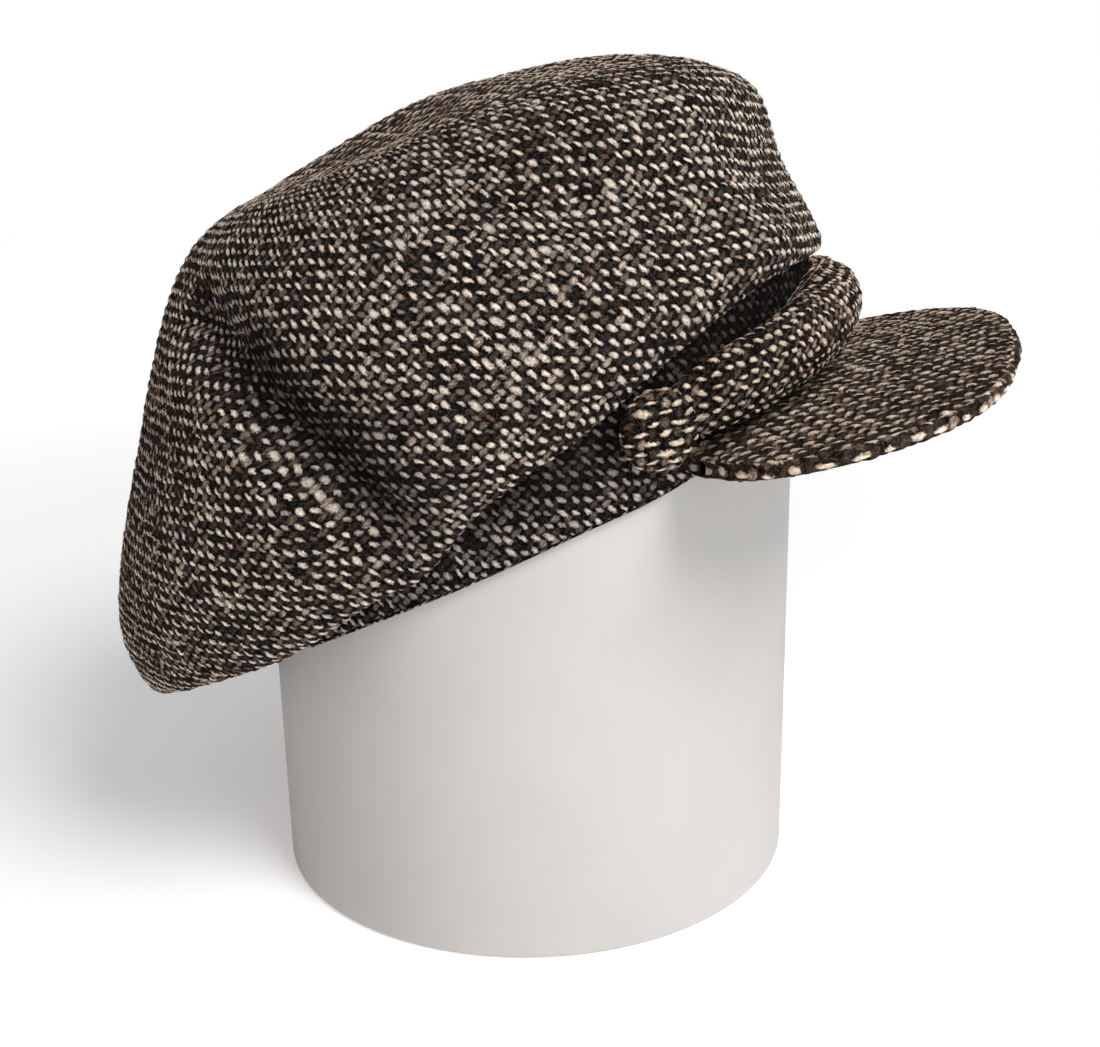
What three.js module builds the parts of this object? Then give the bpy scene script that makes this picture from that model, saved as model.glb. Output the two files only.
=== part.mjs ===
import * as THREE from "three";

// A soft tweed cap with a peak, worn on a plain upright cylinder.
// Lengths are in millimetres and directions in degrees. The front of the cap is +X, its own
// left side is +Y and +Z is up. The middle of the stand's foot is the origin.

// Stand
const STAND_DIAMETER = 175;
const STAND_HEIGHT = 200;
const STAND_EDGE_RADIUS = 2;
const STAND_SIDES = 64;

// Cloth thicknesses and the clearance between neighbouring pieces
const CLEARANCE = 0.4;
const CROWN_THICKNESS = 2.5;
const BAND_THICKNESS = 3;
const BAND_EDGE_RADIUS = 1.4;
// How much of the edge radius is left at the middle of a quarter turn
const TURN_SHARE = 1 - Math.SQRT1_2;

// Headband: the lower edge and the upper edge at each direction round the stand's axis.
// It is worn low at the back and a little higher on the left than on the right.
const BAND_STEPS = 72;
const BAND_ROWS = [
  { direction: -180, hem: 66.5, seam: 104 },
  { direction: -150, hem: 72, seam: 110 },
  { direction: -120, hem: 88, seam: 126 },
  { direction: -90, hem: 109.5, seam: 147.5 },
  { direction: -60, hem: 131, seam: 170 },
  { direction: -45, hem: 139.5, seam: 178 },
  { direction: -30, hem: 148.5, seam: 187 },
  { direction: -15, hem: 156, seam: 194 },
  { direction: 0, hem: 160, seam: 199 },
  { direction: 15, hem: 163, seam: 202 },
  { direction: 30, hem: 163.5, seam: 202.5 },
  { direction: 45, hem: 160, seam: 199 },
  { direction: 60, hem: 150, seam: 189 },
  { direction: 90, hem: 123, seam: 161 },
  { direction: 120, hem: 96, seam: 134 },
  { direction: 150, hem: 76, seam: 114 },
];

// Crown: one half profile for each direction round an upright line behind the stand's axis.
// Reach is measured from that line and height from the foot of the stand.
// fold is the lowest part of the overhang, low and high the bulge of the side, shoulder the
// soft upper edge and top the upper face.
const CROWN_CENTRE_X = -30;
const CROWN_TOP_HEIGHT = 248.5;
const CROWN_TOP_SLOPE = 0.36;
const CROWN_TOP_FLAT = 18;
const CROWN_DIRECTIONS = 84;
// Steps of the half profile between the neck, fold, low, high, shoulder and top points and
// the middle of the upper face
const CROWN_STEPS = [3, 4, 4, 4, 3, 2];
const NECK_OUT = 1.6;
const SEAM_GAP = 0.8;
const CROWN_ROWS = [
  { direction: -180, foldReach: 99, fold: 47, lowReach: 112.5, low: 70, highReach: 101.5, high: 138,
    shoulderReach: 80, shoulder: 204, topReach: 50, top: 226.5 },
  { direction: -150, foldReach: 100, fold: 55.5, lowReach: 112, low: 75, highReach: 101, high: 139,
    shoulderReach: 79.5, shoulder: 204.5, topReach: 50, top: 226 },
  { direction: -120, foldReach: 103, fold: 74.5, lowReach: 113.5, low: 99, highReach: 104, high: 155,
    shoulderReach: 81.5, shoulder: 209.5, topReach: 50, top: 228 },
  { direction: -105, foldReach: 104, fold: 85.5, lowReach: 117, low: 115, highReach: 107, high: 170,
    shoulderReach: 84.5, shoulder: 214, topReach: 50, top: 230 },
  { direction: -90, foldReach: 106, fold: 98, lowReach: 119, low: 128, highReach: 110, high: 180,
    shoulderReach: 87, shoulder: 220, topReach: 50, top: 233 },
  { direction: -75, foldReach: 109, fold: 117, lowReach: 120, low: 143, highReach: 112, high: 190,
    shoulderReach: 90, shoulder: 227, topReach: 50, top: 238 },
  { direction: -68, foldReach: 110, fold: 124, lowReach: 119.5, low: 150, highReach: 111.5, high: 195,
    shoulderReach: 91, shoulder: 231, topReach: 50, top: 242 },
  { direction: -60, foldReach: 110, fold: 141, lowReach: 119, low: 160, highReach: 111, high: 202,
    shoulderReach: 92, shoulder: 236, topReach: 50, top: 246 },
  { direction: -45, foldReach: 113, fold: 161, lowReach: 119, low: 176, highReach: 112, high: 211,
    shoulderReach: 95, shoulder: 244, topReach: 55, top: 251.5 },
  { direction: -30, foldReach: 119.5, fold: 179, lowReach: 123, low: 191, highReach: 114, high: 218,
    shoulderReach: 99, shoulder: 249, topReach: 60, top: 255 },
  { direction: -15, foldReach: 125, fold: 195.2, lowReach: 124.5, low: 204, highReach: 114, high: 224,
    shoulderReach: 103, shoulder: 252, topReach: 70, top: 259.5 },
  { direction: 0, foldReach: 124, fold: 202.5, lowReach: 121.5, low: 211, highReach: 112, high: 229,
    shoulderReach: 102, shoulder: 251.5, topReach: 75, top: 260 },
  { direction: 15, foldReach: 123.5, fold: 205.5, lowReach: 120.5, low: 212, highReach: 111.5, high: 229,
    shoulderReach: 101, shoulder: 253, topReach: 75, top: 260.5 },
  { direction: 30, foldReach: 119.5, fold: 204, lowReach: 119.5, low: 211, highReach: 112, high: 228,
    shoulderReach: 101, shoulder: 252, topReach: 70, top: 259.5 },
  { direction: 60, foldReach: 110, fold: 160, lowReach: 119, low: 178, highReach: 112, high: 214,
    shoulderReach: 94, shoulder: 244, topReach: 52, top: 254 },
  { direction: 90, foldReach: 108, fold: 114, lowReach: 119, low: 140, highReach: 111, high: 190,
    shoulderReach: 89, shoulder: 230, topReach: 50, top: 245 },
  { direction: 120, foldReach: 102, fold: 86, lowReach: 115, low: 115, highReach: 106.5, high: 160,
    shoulderReach: 85, shoulder: 215, topReach: 50, top: 234 },
  { direction: 150, foldReach: 100, fold: 60, lowReach: 114, low: 83, highReach: 103, high: 144,
    shoulderReach: 82.5, shoulder: 204, topReach: 50, top: 229 },
];

// Soft dents of the crown. Each runs along a straight line from one point to another; the
// cloth moves towards the heart of the crown, or away from it where the depth is negative.
const CROWN_HEART = { x: -25, y: 0, z: 150 };
const DENT_FROM_RING = 4;
const DENT_FULL_RING = 9;
const DENT_ROWS = [
  { fromX: -50, fromY: -99, fromZ: 196, toX: -12, toY: -114, toZ: 171, width: 19, depth: 5.5 },
  { fromX: 0, fromY: -115, fromZ: 164, toX: 14, toY: -108, toZ: 138, width: 17, depth: 6.5 },
  { fromX: 54, fromY: -80, fromZ: 198, toX: 50, toY: -82, toZ: 172, width: 20, depth: -2.5 },
  { fromX: 68, fromY: -45, fromZ: 240, toX: 85, toY: -38, toZ: 200, width: 11, depth: -2 },
  { fromX: 22, fromY: -70, fromZ: 236, toX: 48, toY: -68, toZ: 216, width: 18, depth: 2 },
  { fromX: -62, fromY: 88, fromZ: 190, toX: -5, toY: 112, toZ: 160, width: 20, depth: 5.5 },
  { fromX: 35, fromY: 92, fromZ: 200, toX: 30, toY: 96, toZ: 178, width: 22, depth: -2 },
  { fromX: -128, fromY: 12, fromZ: 160, toX: -142, toY: 22, toZ: 95, width: 17, depth: 3.5 },
  { fromX: -52, fromY: 18, fromZ: 242, toX: 0, toY: 34, toZ: 255, width: 26, depth: 2.5 },
];

// Peak: a flat stiffened plate that slopes up to the front and up to the left side, and
// rises a little towards the middle of its root.
const PEAK_THICKNESS = 4.5;
const PEAK_HEIGHT = 143;
const PEAK_RISE_FORWARD = 0.2255;
const PEAK_RISE_LEFT = 0.134;
const PEAK_ARCH = 5;
const PEAK_HALF_WIDTH = 79;
const PEAK_ROOT_DIRECTION = 41;
const PEAK_SECTIONS = 44;
const PEAK_TURN = 3.5;
// Half of the outline of the peak, from its middle to its root, seen from above
const PEAK_OUTLINE_ROWS = [
  { across: 0, front: 154 },
  { across: 20, front: 152.5 },
  { across: 40, front: 149.5 },
  { across: 58, front: 141.5 },
  { across: 71, front: 127 },
  { across: 78.5, front: 106 },
  { across: 76.5, front: 89 },
  { across: 66, front: 74.5 },
];

// Front strap: a padded roll of cloth over the front of the headband. height is the middle of
// the roll, tall its height from edge to edge, and reach its outermost part, measured from the
// stand's axis.
const STRAP_STEPS = 46;
const STRAP_END_SHARE = 0.35;
// Its section from the lower inner edge to the upper one, in shares of its depth and half height
const STRAP_SECTION_ROWS = [
  { out: 0, up: -0.72 },
  { out: 0.25, up: -0.92 },
  { out: 0.55, up: -0.8 },
  { out: 0.85, up: -0.45 },
  { out: 1, up: 0.02 },
  { out: 0.88, up: 0.5 },
  { out: 0.62, up: 0.88 },
  { out: 0.38, up: 1 },
  { out: 0.16, up: 0.84 },
  { out: 0, up: 0.5 },
];
const STRAP_ROWS = [
  { direction: -51.5, height: 159.5, reach: 95.4, tall: 19 },
  { direction: -46, height: 161, reach: 95.5, tall: 20 },
  { direction: -40.5, height: 164.8, reach: 96.2, tall: 23 },
  { direction: -36, height: 168.5, reach: 101, tall: 26 },
  { direction: -30, height: 171.9, reach: 104, tall: 29 },
  { direction: -15, height: 179.9, reach: 107.5, tall: 30 },
  { direction: 0, height: 185, reach: 109.5, tall: 30 },
  { direction: 15, height: 186.8, reach: 109.3, tall: 30 },
  { direction: 30, height: 185.3, reach: 106.5, tall: 29 },
  { direction: 36, height: 184, reach: 101, tall: 26 },
  { direction: 40.5, height: 182.5, reach: 96.2, tall: 23 },
  { direction: 46, height: 180.5, reach: 95.5, tall: 20 },
  { direction: 51.5, height: 178.5, reach: 95.4, tall: 19 },
];

// Round cloth-covered buttons that hold the two ends of the strap
const BUTTON_DIAMETER = 22;
const BUTTON_DEPTH = 6.5;
const BUTTON_SIDES = 28;
// Half profile of a button, in shares of its radius and depth
const BUTTON_PROFILE_ROWS = [
  { radius: 0.86, depth: 0 },
  { radius: 0.98, depth: 0.18 },
  { radius: 1, depth: 0.4 },
  { radius: 0.9, depth: 0.68 },
  { radius: 0.62, depth: 0.9 },
  { radius: 0.3, depth: 1 },
];
const BUTTON_ROWS = [
  { name: "right_button", direction: -47, height: 160.5 },
  { name: "left_button", direction: 47, height: 180 },
];

const CLOTH_COLOUR = 0x6f655c;
const PEAK_COLOUR = 0x75685d;
const STAND_COLOUR = 0xdedcd8;

const STAND_RADIUS = STAND_DIAMETER / 2;
const BAND_INNER_RADIUS = STAND_RADIUS + CLEARANCE;
const BAND_OUTER_RADIUS = BAND_INNER_RADIUS + BAND_THICKNESS;
const SEAM_RADIUS = BAND_INNER_RADIUS + BAND_THICKNESS / 2;

function radians(degrees) {
  return degrees * Math.PI / 180;
}

// Smooth value of one column between two rows of a table
function blend(column, direction, before, from, to, after) {
  const span = to.direction - from.direction;
  const share = (direction - from.direction) / span;
  const slopeFrom = (to[column] - before[column]) / (to.direction - before.direction);
  const slopeTo = (after[column] - from[column]) / (after.direction - from.direction);
  const square = share * share;
  const cube = square * share;
  return (2 * cube - 3 * square + 1) * from[column] + (cube - 2 * square + share) * span * slopeFrom
    + (3 * square - 2 * cube) * to[column] + (cube - square) * span * slopeTo;
}

// Table that goes all the way round
function roundValue(rows, column, direction) {
  const turn = 360;
  const first = rows[0].direction;
  const at = first + THREE.MathUtils.euclideanModulo(direction - first, turn);
  const count = rows.length;
  const row = (index) => {
    const lap = Math.floor(index / count);
    const source = rows[index - lap * count];
    return { direction: source.direction + lap * turn, [column]: source[column] };
  };
  let index = 0;
  while (index < count - 1 && row(index + 1).direction <= at) {
    index += 1;
  }
  return blend(column, at, row(index - 1), row(index), row(index + 1), row(index + 2));
}

// Table with two ends
function openValue(rows, column, direction) {
  const last = rows.length - 1;
  let index = 0;
  while (index < last - 1 && rows[index + 1].direction <= direction) {
    index += 1;
  }
  const before = rows[Math.max(index - 1, 0)];
  const after = rows[Math.min(index + 2, last)];
  return blend(column, direction, before, rows[index], rows[index + 1], after);
}

function roundPoint(radius, direction, height) {
  const angle = radians(direction);
  return new THREE.Vector3(radius * Math.cos(angle), radius * Math.sin(angle), height);
}

function clothMaterial(name, colour) {
  return new THREE.MeshStandardMaterial({ name, color: colour, roughness: 0.95, metalness: 0 });
}

function signedVolume(points, faces) {
  let volume = 0;
  for (const [a, b, c] of faces) {
    volume += points[a].dot(new THREE.Vector3().crossVectors(points[b], points[c])) / 6;
  }
  return volume;
}

function solid(name, points, faces, material) {
  const outward = signedVolume(points, faces) > 0 ? faces : faces.map(([a, b, c]) => [a, c, b]);
  const geometry = new THREE.BufferGeometry();
  const numbers = points.flatMap((point) => [point.x, point.y, point.z]);
  geometry.setAttribute("position", new THREE.Float32BufferAttribute(numbers, 3));
  geometry.setIndex(outward.flat());
  geometry.computeVertexNormals();
  const mesh = new THREE.Mesh(geometry, material);
  mesh.name = name;
  return mesh;
}

// Faces between two neighbouring rows of points
function strip(faces, firstRow, secondRow, closed) {
  const count = firstRow.length;
  const steps = closed ? count : count - 1;
  for (let step = 0; step < steps; step += 1) {
    const next = (step + 1) % count;
    faces.push([firstRow[step], firstRow[next], secondRow[next]]);
    faces.push([firstRow[step], secondRow[next], secondRow[step]]);
  }
}

function numbered(points, row) {
  return row.map((point) => points.push(point) - 1);
}

// Solid whose closed section is carried along a path, round a ring or between two ends
function sweptSolid(name, sections, ring, material) {
  const points = [];
  const faces = [];
  const rows = sections.map((section) => numbered(points, section));
  for (let index = 0; index < rows.length - 1; index += 1) {
    strip(faces, rows[index], rows[index + 1], true);
  }
  if (ring) {
    strip(faces, rows[rows.length - 1], rows[0], true);
  } else {
    capSection(points, faces, rows[0], true);
    capSection(points, faces, rows[rows.length - 1], false);
  }
  return solid(name, points, faces, material);
}

function capSection(points, faces, row, turned) {
  const middle = new THREE.Vector3();
  row.forEach((index) => middle.add(points[index]));
  middle.divideScalar(row.length);
  const centre = points.push(middle) - 1;
  row.forEach((index, step) => {
    const next = row[(step + 1) % row.length];
    faces.push(turned ? [centre, next, index] : [centre, index, next]);
  });
}

// Solid turned round an upright axis from a profile of radius and height pairs
function turnedSolid(name, profile, sides, place, material) {
  const points = [];
  const faces = [];
  const lower = points.push(place(0, 0, profile[0].height)) - 1;
  const upper = points.push(place(0, 0, profile[profile.length - 1].height)) - 1;
  const rows = profile.map(({ radius, height }) => {
    const row = [];
    for (let side = 0; side < sides; side += 1) {
      const angle = 2 * Math.PI * side / sides;
      row.push(place(radius * Math.cos(angle), radius * Math.sin(angle), height));
    }
    return numbered(points, row);
  });
  for (let index = 0; index < rows.length - 1; index += 1) {
    strip(faces, rows[index], rows[index + 1], true);
  }
  for (let side = 0; side < sides; side += 1) {
    const next = (side + 1) % sides;
    faces.push([lower, rows[0][next], rows[0][side]]);
    faces.push([upper, rows[rows.length - 1][side], rows[rows.length - 1][next]]);
  }
  return solid(name, points, faces, material);
}

function stand() {
  const edge = STAND_EDGE_RADIUS;
  const soft = edge * TURN_SHARE;
  const profile = [
    { radius: STAND_RADIUS - edge, height: 0 },
    { radius: STAND_RADIUS - soft, height: soft },
    { radius: STAND_RADIUS, height: edge },
    { radius: STAND_RADIUS, height: STAND_HEIGHT - edge },
    { radius: STAND_RADIUS - soft, height: STAND_HEIGHT - soft },
    { radius: STAND_RADIUS - edge, height: STAND_HEIGHT },
  ];
  const place = (x, y, z) => new THREE.Vector3(x, y, z);
  const material = new THREE.MeshStandardMaterial({
    name: "matte_white", color: STAND_COLOUR, roughness: 0.85, metalness: 0,
  });
  return turnedSolid("stand", profile, STAND_SIDES, place, material);
}

// Strip of cloth round the stand, with a turned-in lower edge
function headband() {
  const sections = [];
  const edge = BAND_EDGE_RADIUS;
  const soft = edge * TURN_SHARE;
  for (let step = 0; step < BAND_STEPS; step += 1) {
    const direction = 360 * step / BAND_STEPS;
    const hem = roundValue(BAND_ROWS, "hem", direction);
    const seam = roundValue(BAND_ROWS, "seam", direction);
    sections.push([
      roundPoint(BAND_INNER_RADIUS, direction, seam),
      roundPoint(BAND_OUTER_RADIUS, direction, seam),
      roundPoint(BAND_OUTER_RADIUS, direction, (hem + seam) / 2),
      roundPoint(BAND_OUTER_RADIUS, direction, hem + edge),
      roundPoint(BAND_OUTER_RADIUS - soft, direction, hem + soft),
      roundPoint(SEAM_RADIUS, direction, hem),
      roundPoint(BAND_INNER_RADIUS + soft, direction, hem + soft),
      roundPoint(BAND_INNER_RADIUS, direction, hem + edge),
    ]);
  }
  return sweptSolid("headband", sections, true, clothMaterial("tweed_band", CLOTH_COLOUR));
}

// Distance from the crown's centre line to a circle round the stand's axis
function reachOfCircle(radius, direction) {
  const angle = radians(direction);
  const across = CROWN_CENTRE_X * Math.sin(angle);
  return Math.sqrt(radius * radius - across * across) - CROWN_CENTRE_X * Math.cos(angle);
}

function standDirection(reach, direction) {
  const angle = radians(direction);
  const x = CROWN_CENTRE_X + reach * Math.cos(angle);
  return Math.atan2(reach * Math.sin(angle), x) * 180 / Math.PI;
}

// Half profile of the crown in one direction, from the seam of the headband to the top
function crownProfile(direction) {
  const value = (column) => roundValue(CROWN_ROWS, column, direction);
  const seamReach = reachOfCircle(SEAM_RADIUS, direction);
  const seam = roundValue(BAND_ROWS, "seam", standDirection(seamReach, direction)) + SEAM_GAP;
  const neckReach = reachOfCircle(BAND_OUTER_RADIUS, direction) + NECK_OUT;
  const flatHeight = CROWN_TOP_HEIGHT + CROWN_TOP_SLOPE * CROWN_TOP_FLAT * Math.cos(radians(direction));
  const pairs = [
    [neckReach, seam],
    [value("foldReach"), value("fold")],
    [value("lowReach"), value("low")],
    [value("highReach"), value("high")],
    [value("shoulderReach"), value("shoulder")],
    [value("topReach"), value("top")],
    [CROWN_TOP_FLAT, flatHeight],
    [0, CROWN_TOP_HEIGHT],
  ];
  const knots = pairs.map(([reach, height]) => new THREE.Vector3(reach, 0, height));
  const curve = new THREE.CatmullRomCurve3(knots, false, "centripetal");
  const profile = [new THREE.Vector3(seamReach, 0, seam)];
  CROWN_STEPS.forEach((steps, part) => {
    for (let step = 0; step < steps; step += 1) {
      profile.push(curve.getPoint((part + step / steps) / (knots.length - 1)));
    }
  });
  profile.push(knots[knots.length - 2]);
  return profile;
}

// The dents fade out towards the fold, so that the cloth keeps clear of the headband
function dented(point, ring) {
  const cover = THREE.MathUtils.smoothstep(ring, DENT_FROM_RING, DENT_FULL_RING);
  const heart = new THREE.Vector3(CROWN_HEART.x, CROWN_HEART.y, CROWN_HEART.z);
  let depth = 0;
  for (const dent of DENT_ROWS) {
    const line = new THREE.Line3(
      new THREE.Vector3(dent.fromX, dent.fromY, dent.fromZ),
      new THREE.Vector3(dent.toX, dent.toY, dent.toZ),
    );
    const nearest = line.closestPointToPoint(point, true, new THREE.Vector3());
    const away = nearest.distanceTo(point) / dent.width;
    depth += dent.depth * Math.exp(-away * away);
  }
  const inward = heart.sub(point).normalize();
  return point.clone().addScaledVector(inward, depth * cover);
}

function crownRings() {
  const rings = crownProfile(0).map(() => []);
  for (let step = 0; step < CROWN_DIRECTIONS; step += 1) {
    const direction = 360 * step / CROWN_DIRECTIONS;
    const angle = radians(direction);
    const profile = crownProfile(direction);
    profile.forEach(({ x: reach, z: height }, ring) => {
      const x = CROWN_CENTRE_X + reach * Math.cos(angle);
      const point = new THREE.Vector3(x, reach * Math.sin(angle), height);
      rings[ring].push(dented(point, ring));
    });
  }
  return rings;
}

// Outward direction at each point of an open skin
function skinNormals(points, faces) {
  const normals = points.map(() => new THREE.Vector3());
  for (const [a, b, c] of faces) {
    const first = new THREE.Vector3().subVectors(points[b], points[a]);
    const second = new THREE.Vector3().subVectors(points[c], points[a]);
    const normal = first.cross(second);
    [a, b, c].forEach((index) => normals[index].add(normal));
  }
  return normals.map((normal) => normal.normalize());
}

// Hollow bag of cloth: an outer skin and an inner skin, joined along the seam
function crown() {
  const points = [];
  const faces = [];
  const rows = crownRings().map((ring) => numbered(points, ring));
  const middle = new THREE.Vector3(CROWN_CENTRE_X, 0, CROWN_TOP_HEIGHT);
  const top = points.push(dented(middle, rows.length)) - 1;
  for (let ring = 0; ring < rows.length - 1; ring += 1) {
    strip(faces, rows[ring], rows[ring + 1], true);
  }
  rows[rows.length - 1].forEach((index, step, row) => {
    faces.push([index, row[(step + 1) % row.length], top]);
  });
  const normals = skinNormals(points, faces);
  const offset = points.length;
  const inner = points.map((point, index) => (
    point.clone().addScaledVector(normals[index], -CROWN_THICKNESS)
  ));
  const innerFaces = faces.map(([a, b, c]) => [a + offset, c + offset, b + offset]);
  const innerSeam = rows[0].map((index) => index + offset);
  const allFaces = faces.concat(innerFaces);
  strip(allFaces, innerSeam, rows[0], true);
  return solid("crown", points.concat(inner), allFaces, clothMaterial("tweed_crown", CLOTH_COLOUR));
}

// Outline of the peak seen from above, from the right corner of its root to the left one
function peakOutline() {
  const right = PEAK_OUTLINE_ROWS.slice().reverse().map(({ across, front }) => [front, -across]);
  const left = PEAK_OUTLINE_ROWS.slice(1).map(({ across, front }) => [front, across]);
  const upright = new THREE.Vector3(0, 0, 1);
  const pivot = new THREE.Vector3(BAND_OUTER_RADIUS, 0, 0);
  const knots = right.concat(left).map(([x, y]) => new THREE.Vector3(x, y, 0)
    .sub(pivot)
    .applyAxisAngle(upright, radians(PEAK_TURN))
    .add(pivot));
  const curve = new THREE.CatmullRomCurve3(knots, false, "centripetal");
  return curve.getSpacedPoints(PEAK_SECTIONS);
}

function peakSurface(x, y, share) {
  const side = Math.min(Math.abs(y) / PEAK_HALF_WIDTH, 1);
  const arch = PEAK_ARCH * (1 - side * side) * (1 - share);
  return PEAK_HEIGHT + PEAK_RISE_FORWARD * x + PEAK_RISE_LEFT * y + arch;
}

function peak() {
  const outline = peakOutline();
  const rootRadius = BAND_OUTER_RADIUS + CLEARANCE;
  const half = PEAK_THICKNESS / 2;
  const soft = half * TURN_SHARE;
  const sections = outline.map((edge, step) => {
    const direction = PEAK_ROOT_DIRECTION * (2 * step / PEAK_SECTIONS - 1);
    const root = roundPoint(rootRadius, direction, 0);
    const length = root.distanceTo(edge);
    const along = new THREE.Vector3().subVectors(edge, root).normalize();
    const at = (distance, drop) => {
      const spot = root.clone().addScaledVector(along, distance);
      spot.z = peakSurface(spot.x, spot.y, distance / length) - drop;
      return spot;
    };
    const plate = length - half;
    return [
      at(0, 0),
      at(plate / 3, 0),
      at(plate * 2 / 3, 0),
      at(plate, 0),
      at(length - soft, soft),
      at(length, half),
      at(length - soft, PEAK_THICKNESS - soft),
      at(plate, PEAK_THICKNESS),
      at(plate * 2 / 3, PEAK_THICKNESS),
      at(plate / 3, PEAK_THICKNESS),
      at(0, PEAK_THICKNESS),
    ];
  });
  return sweptSolid("peak", sections, false, clothMaterial("tweed_peak", PEAK_COLOUR));
}

// Section of the padded strap: flat against the headband and rounded outwards
function strapSection(direction) {
  const height = openValue(STRAP_ROWS, "height", direction);
  const reach = openValue(STRAP_ROWS, "reach", direction);
  const back = BAND_OUTER_RADIUS + CLEARANCE;
  const depth = reach - back;
  const first = STRAP_ROWS[0].direction;
  const last = STRAP_ROWS[STRAP_ROWS.length - 1].direction;
  const toEnd = radians(Math.min(direction - first, last - direction)) * back;
  const round = openValue(STRAP_ROWS, "tall", direction) / 2;
  const narrow = toEnd < round ? Math.sqrt(1 - (1 - toEnd / round) ** 2) : 1;
  const half = round * Math.max(narrow, STRAP_END_SHARE);
  return STRAP_SECTION_ROWS.map(({ out, up }) => (
    roundPoint(back + depth * out, direction, height + half * up)
  ));
}

function frontStrap() {
  const first = STRAP_ROWS[0].direction;
  const last = STRAP_ROWS[STRAP_ROWS.length - 1].direction;
  const sections = [];
  for (let step = 0; step <= STRAP_STEPS; step += 1) {
    sections.push(strapSection(first + (last - first) * step / STRAP_STEPS));
  }
  return sweptSolid("front_strap", sections, false, clothMaterial("tweed_strap", CLOTH_COLOUR));
}

// Domed button on the outside of the strap's end
function button({ name, direction, height }) {
  const profile = BUTTON_PROFILE_ROWS.map(({ radius, depth }) => (
    { radius: radius * BUTTON_DIAMETER / 2, height: depth * BUTTON_DEPTH }
  ));
  const outward = roundPoint(1, direction, 0);
  const sideways = roundPoint(1, direction + 90, 0);
  const base = roundPoint(openValue(STRAP_ROWS, "reach", direction) + CLEARANCE, direction, height);
  const place = (across, up, out) => base.clone()
    .addScaledVector(sideways, across)
    .addScaledVector(outward, out)
    .add(new THREE.Vector3(0, 0, up));
  return turnedSolid(name, profile, BUTTON_SIDES, place, clothMaterial("tweed_button", PEAK_COLOUR));
}

const cap = new THREE.Group();
cap.name = "tweed_cap_on_stand";
cap.add(stand(), headband(), crown(), frontStrap(), peak(), ...BUTTON_ROWS.map(button));

export default cap;
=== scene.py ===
import math

import bpy
import numpy as np
from mathutils import Matrix, Vector

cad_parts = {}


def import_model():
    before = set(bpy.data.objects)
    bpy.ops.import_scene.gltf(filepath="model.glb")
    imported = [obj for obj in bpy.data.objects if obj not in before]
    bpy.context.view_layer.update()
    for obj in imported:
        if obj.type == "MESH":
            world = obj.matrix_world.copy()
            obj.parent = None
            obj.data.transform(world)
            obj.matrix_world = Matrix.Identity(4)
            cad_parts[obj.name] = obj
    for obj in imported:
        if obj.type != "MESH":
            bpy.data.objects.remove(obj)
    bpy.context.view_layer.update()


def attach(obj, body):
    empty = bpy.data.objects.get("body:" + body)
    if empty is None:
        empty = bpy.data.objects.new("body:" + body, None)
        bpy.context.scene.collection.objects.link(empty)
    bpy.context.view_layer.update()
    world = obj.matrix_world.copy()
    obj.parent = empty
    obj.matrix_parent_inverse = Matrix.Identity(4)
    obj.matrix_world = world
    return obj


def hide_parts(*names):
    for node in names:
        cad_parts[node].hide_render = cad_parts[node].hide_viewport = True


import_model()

# A soft tweed cap with a peak, worn on a plain upright cylinder.
# Lengths are in millimetres and directions in degrees until a mesh is made, which is in metres.
# The front of the cap is +X, its own left side is +Y and +Z is up.
MILLIMETRE = 0.001
TINY = 1e-12

# Stand
STAND_RADIUS = 87.5
STAND_HEIGHT = 200
STAND_EDGE_RADIUS = 1.6
STAND_SIDES = 240
STAND_LEVELS = 40
STAND_FLAT_RINGS = 12
STAND_INNER_RING = 2
# Points round a turned edge, here and on the band
EDGE_POINTS = 7

# Cloth, as in the solids
CLEARANCE = 0.4
BAND_THICKNESS = 3
BAND_INNER_RADIUS = STAND_RADIUS + CLEARANCE
BAND_OUTER_RADIUS = BAND_INNER_RADIUS + BAND_THICKNESS
SEAM_RADIUS = BAND_INNER_RADIUS + BAND_THICKNESS / 2

# Weave: distance between neighbouring yarns. A nub is where a yarn lies on top: its half length
# and half width in yarns, and its rise in millimetres
YARN = 2.45
LIGHT_NUB = (0.72, 0.46)
DARK_NUB = (0.75, 0.44)
LIGHT_RISE = 0.75
DARK_RISE = 0.42
# Least and random share of a light nub's rise
LIGHT_RISE_SHARES = (0.7, 0.6)
GROUND_DEPTH = 0.3
# Uneven yarns: how far they wander and over what length, in yarns, a shift of place and of seed
WANDER_ROWS = [
    (0.2, 3.1, 0, 0),
    (0.12, 1.3, 40, 5),
]
# Distance between the yarns on a button and on the peak, along two axes, and on the peak's rim
BUTTON_YARN = (3.5, 2.6)
PEAK_YARN = (2.7, 3.5)
RIM_YARN = 3.7

# Headband: direction round the stand, lower edge, upper edge
BAND_ROWS = [
    (-180, 66.5, 104),
    (-150, 72, 110),
    (-120, 88, 126),
    (-90, 109.5, 147.5),
    (-60, 131, 170),
    (-45, 139.5, 180),
    (-30, 148.5, 190.5),
    (-15, 156, 197.5),
    (0, 160, 201),
    (15, 163, 203),
    (30, 163.5, 203.5),
    (45, 160, 200.5),
    (60, 150, 189),
    (90, 123, 161),
    (120, 96, 134),
    (150, 76, 114),
]
HEM, SEAM = 1, 2
BAND_COLUMNS = 660
BAND_LEVELS = 50
BAND_EDGE_RADIUS = 1.4
BAND_EDGE_TURN = (180, 20)
# Points of a section, from the inside round the turned edge, that stay without relief
BAND_PLAIN_POINTS = 5
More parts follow.
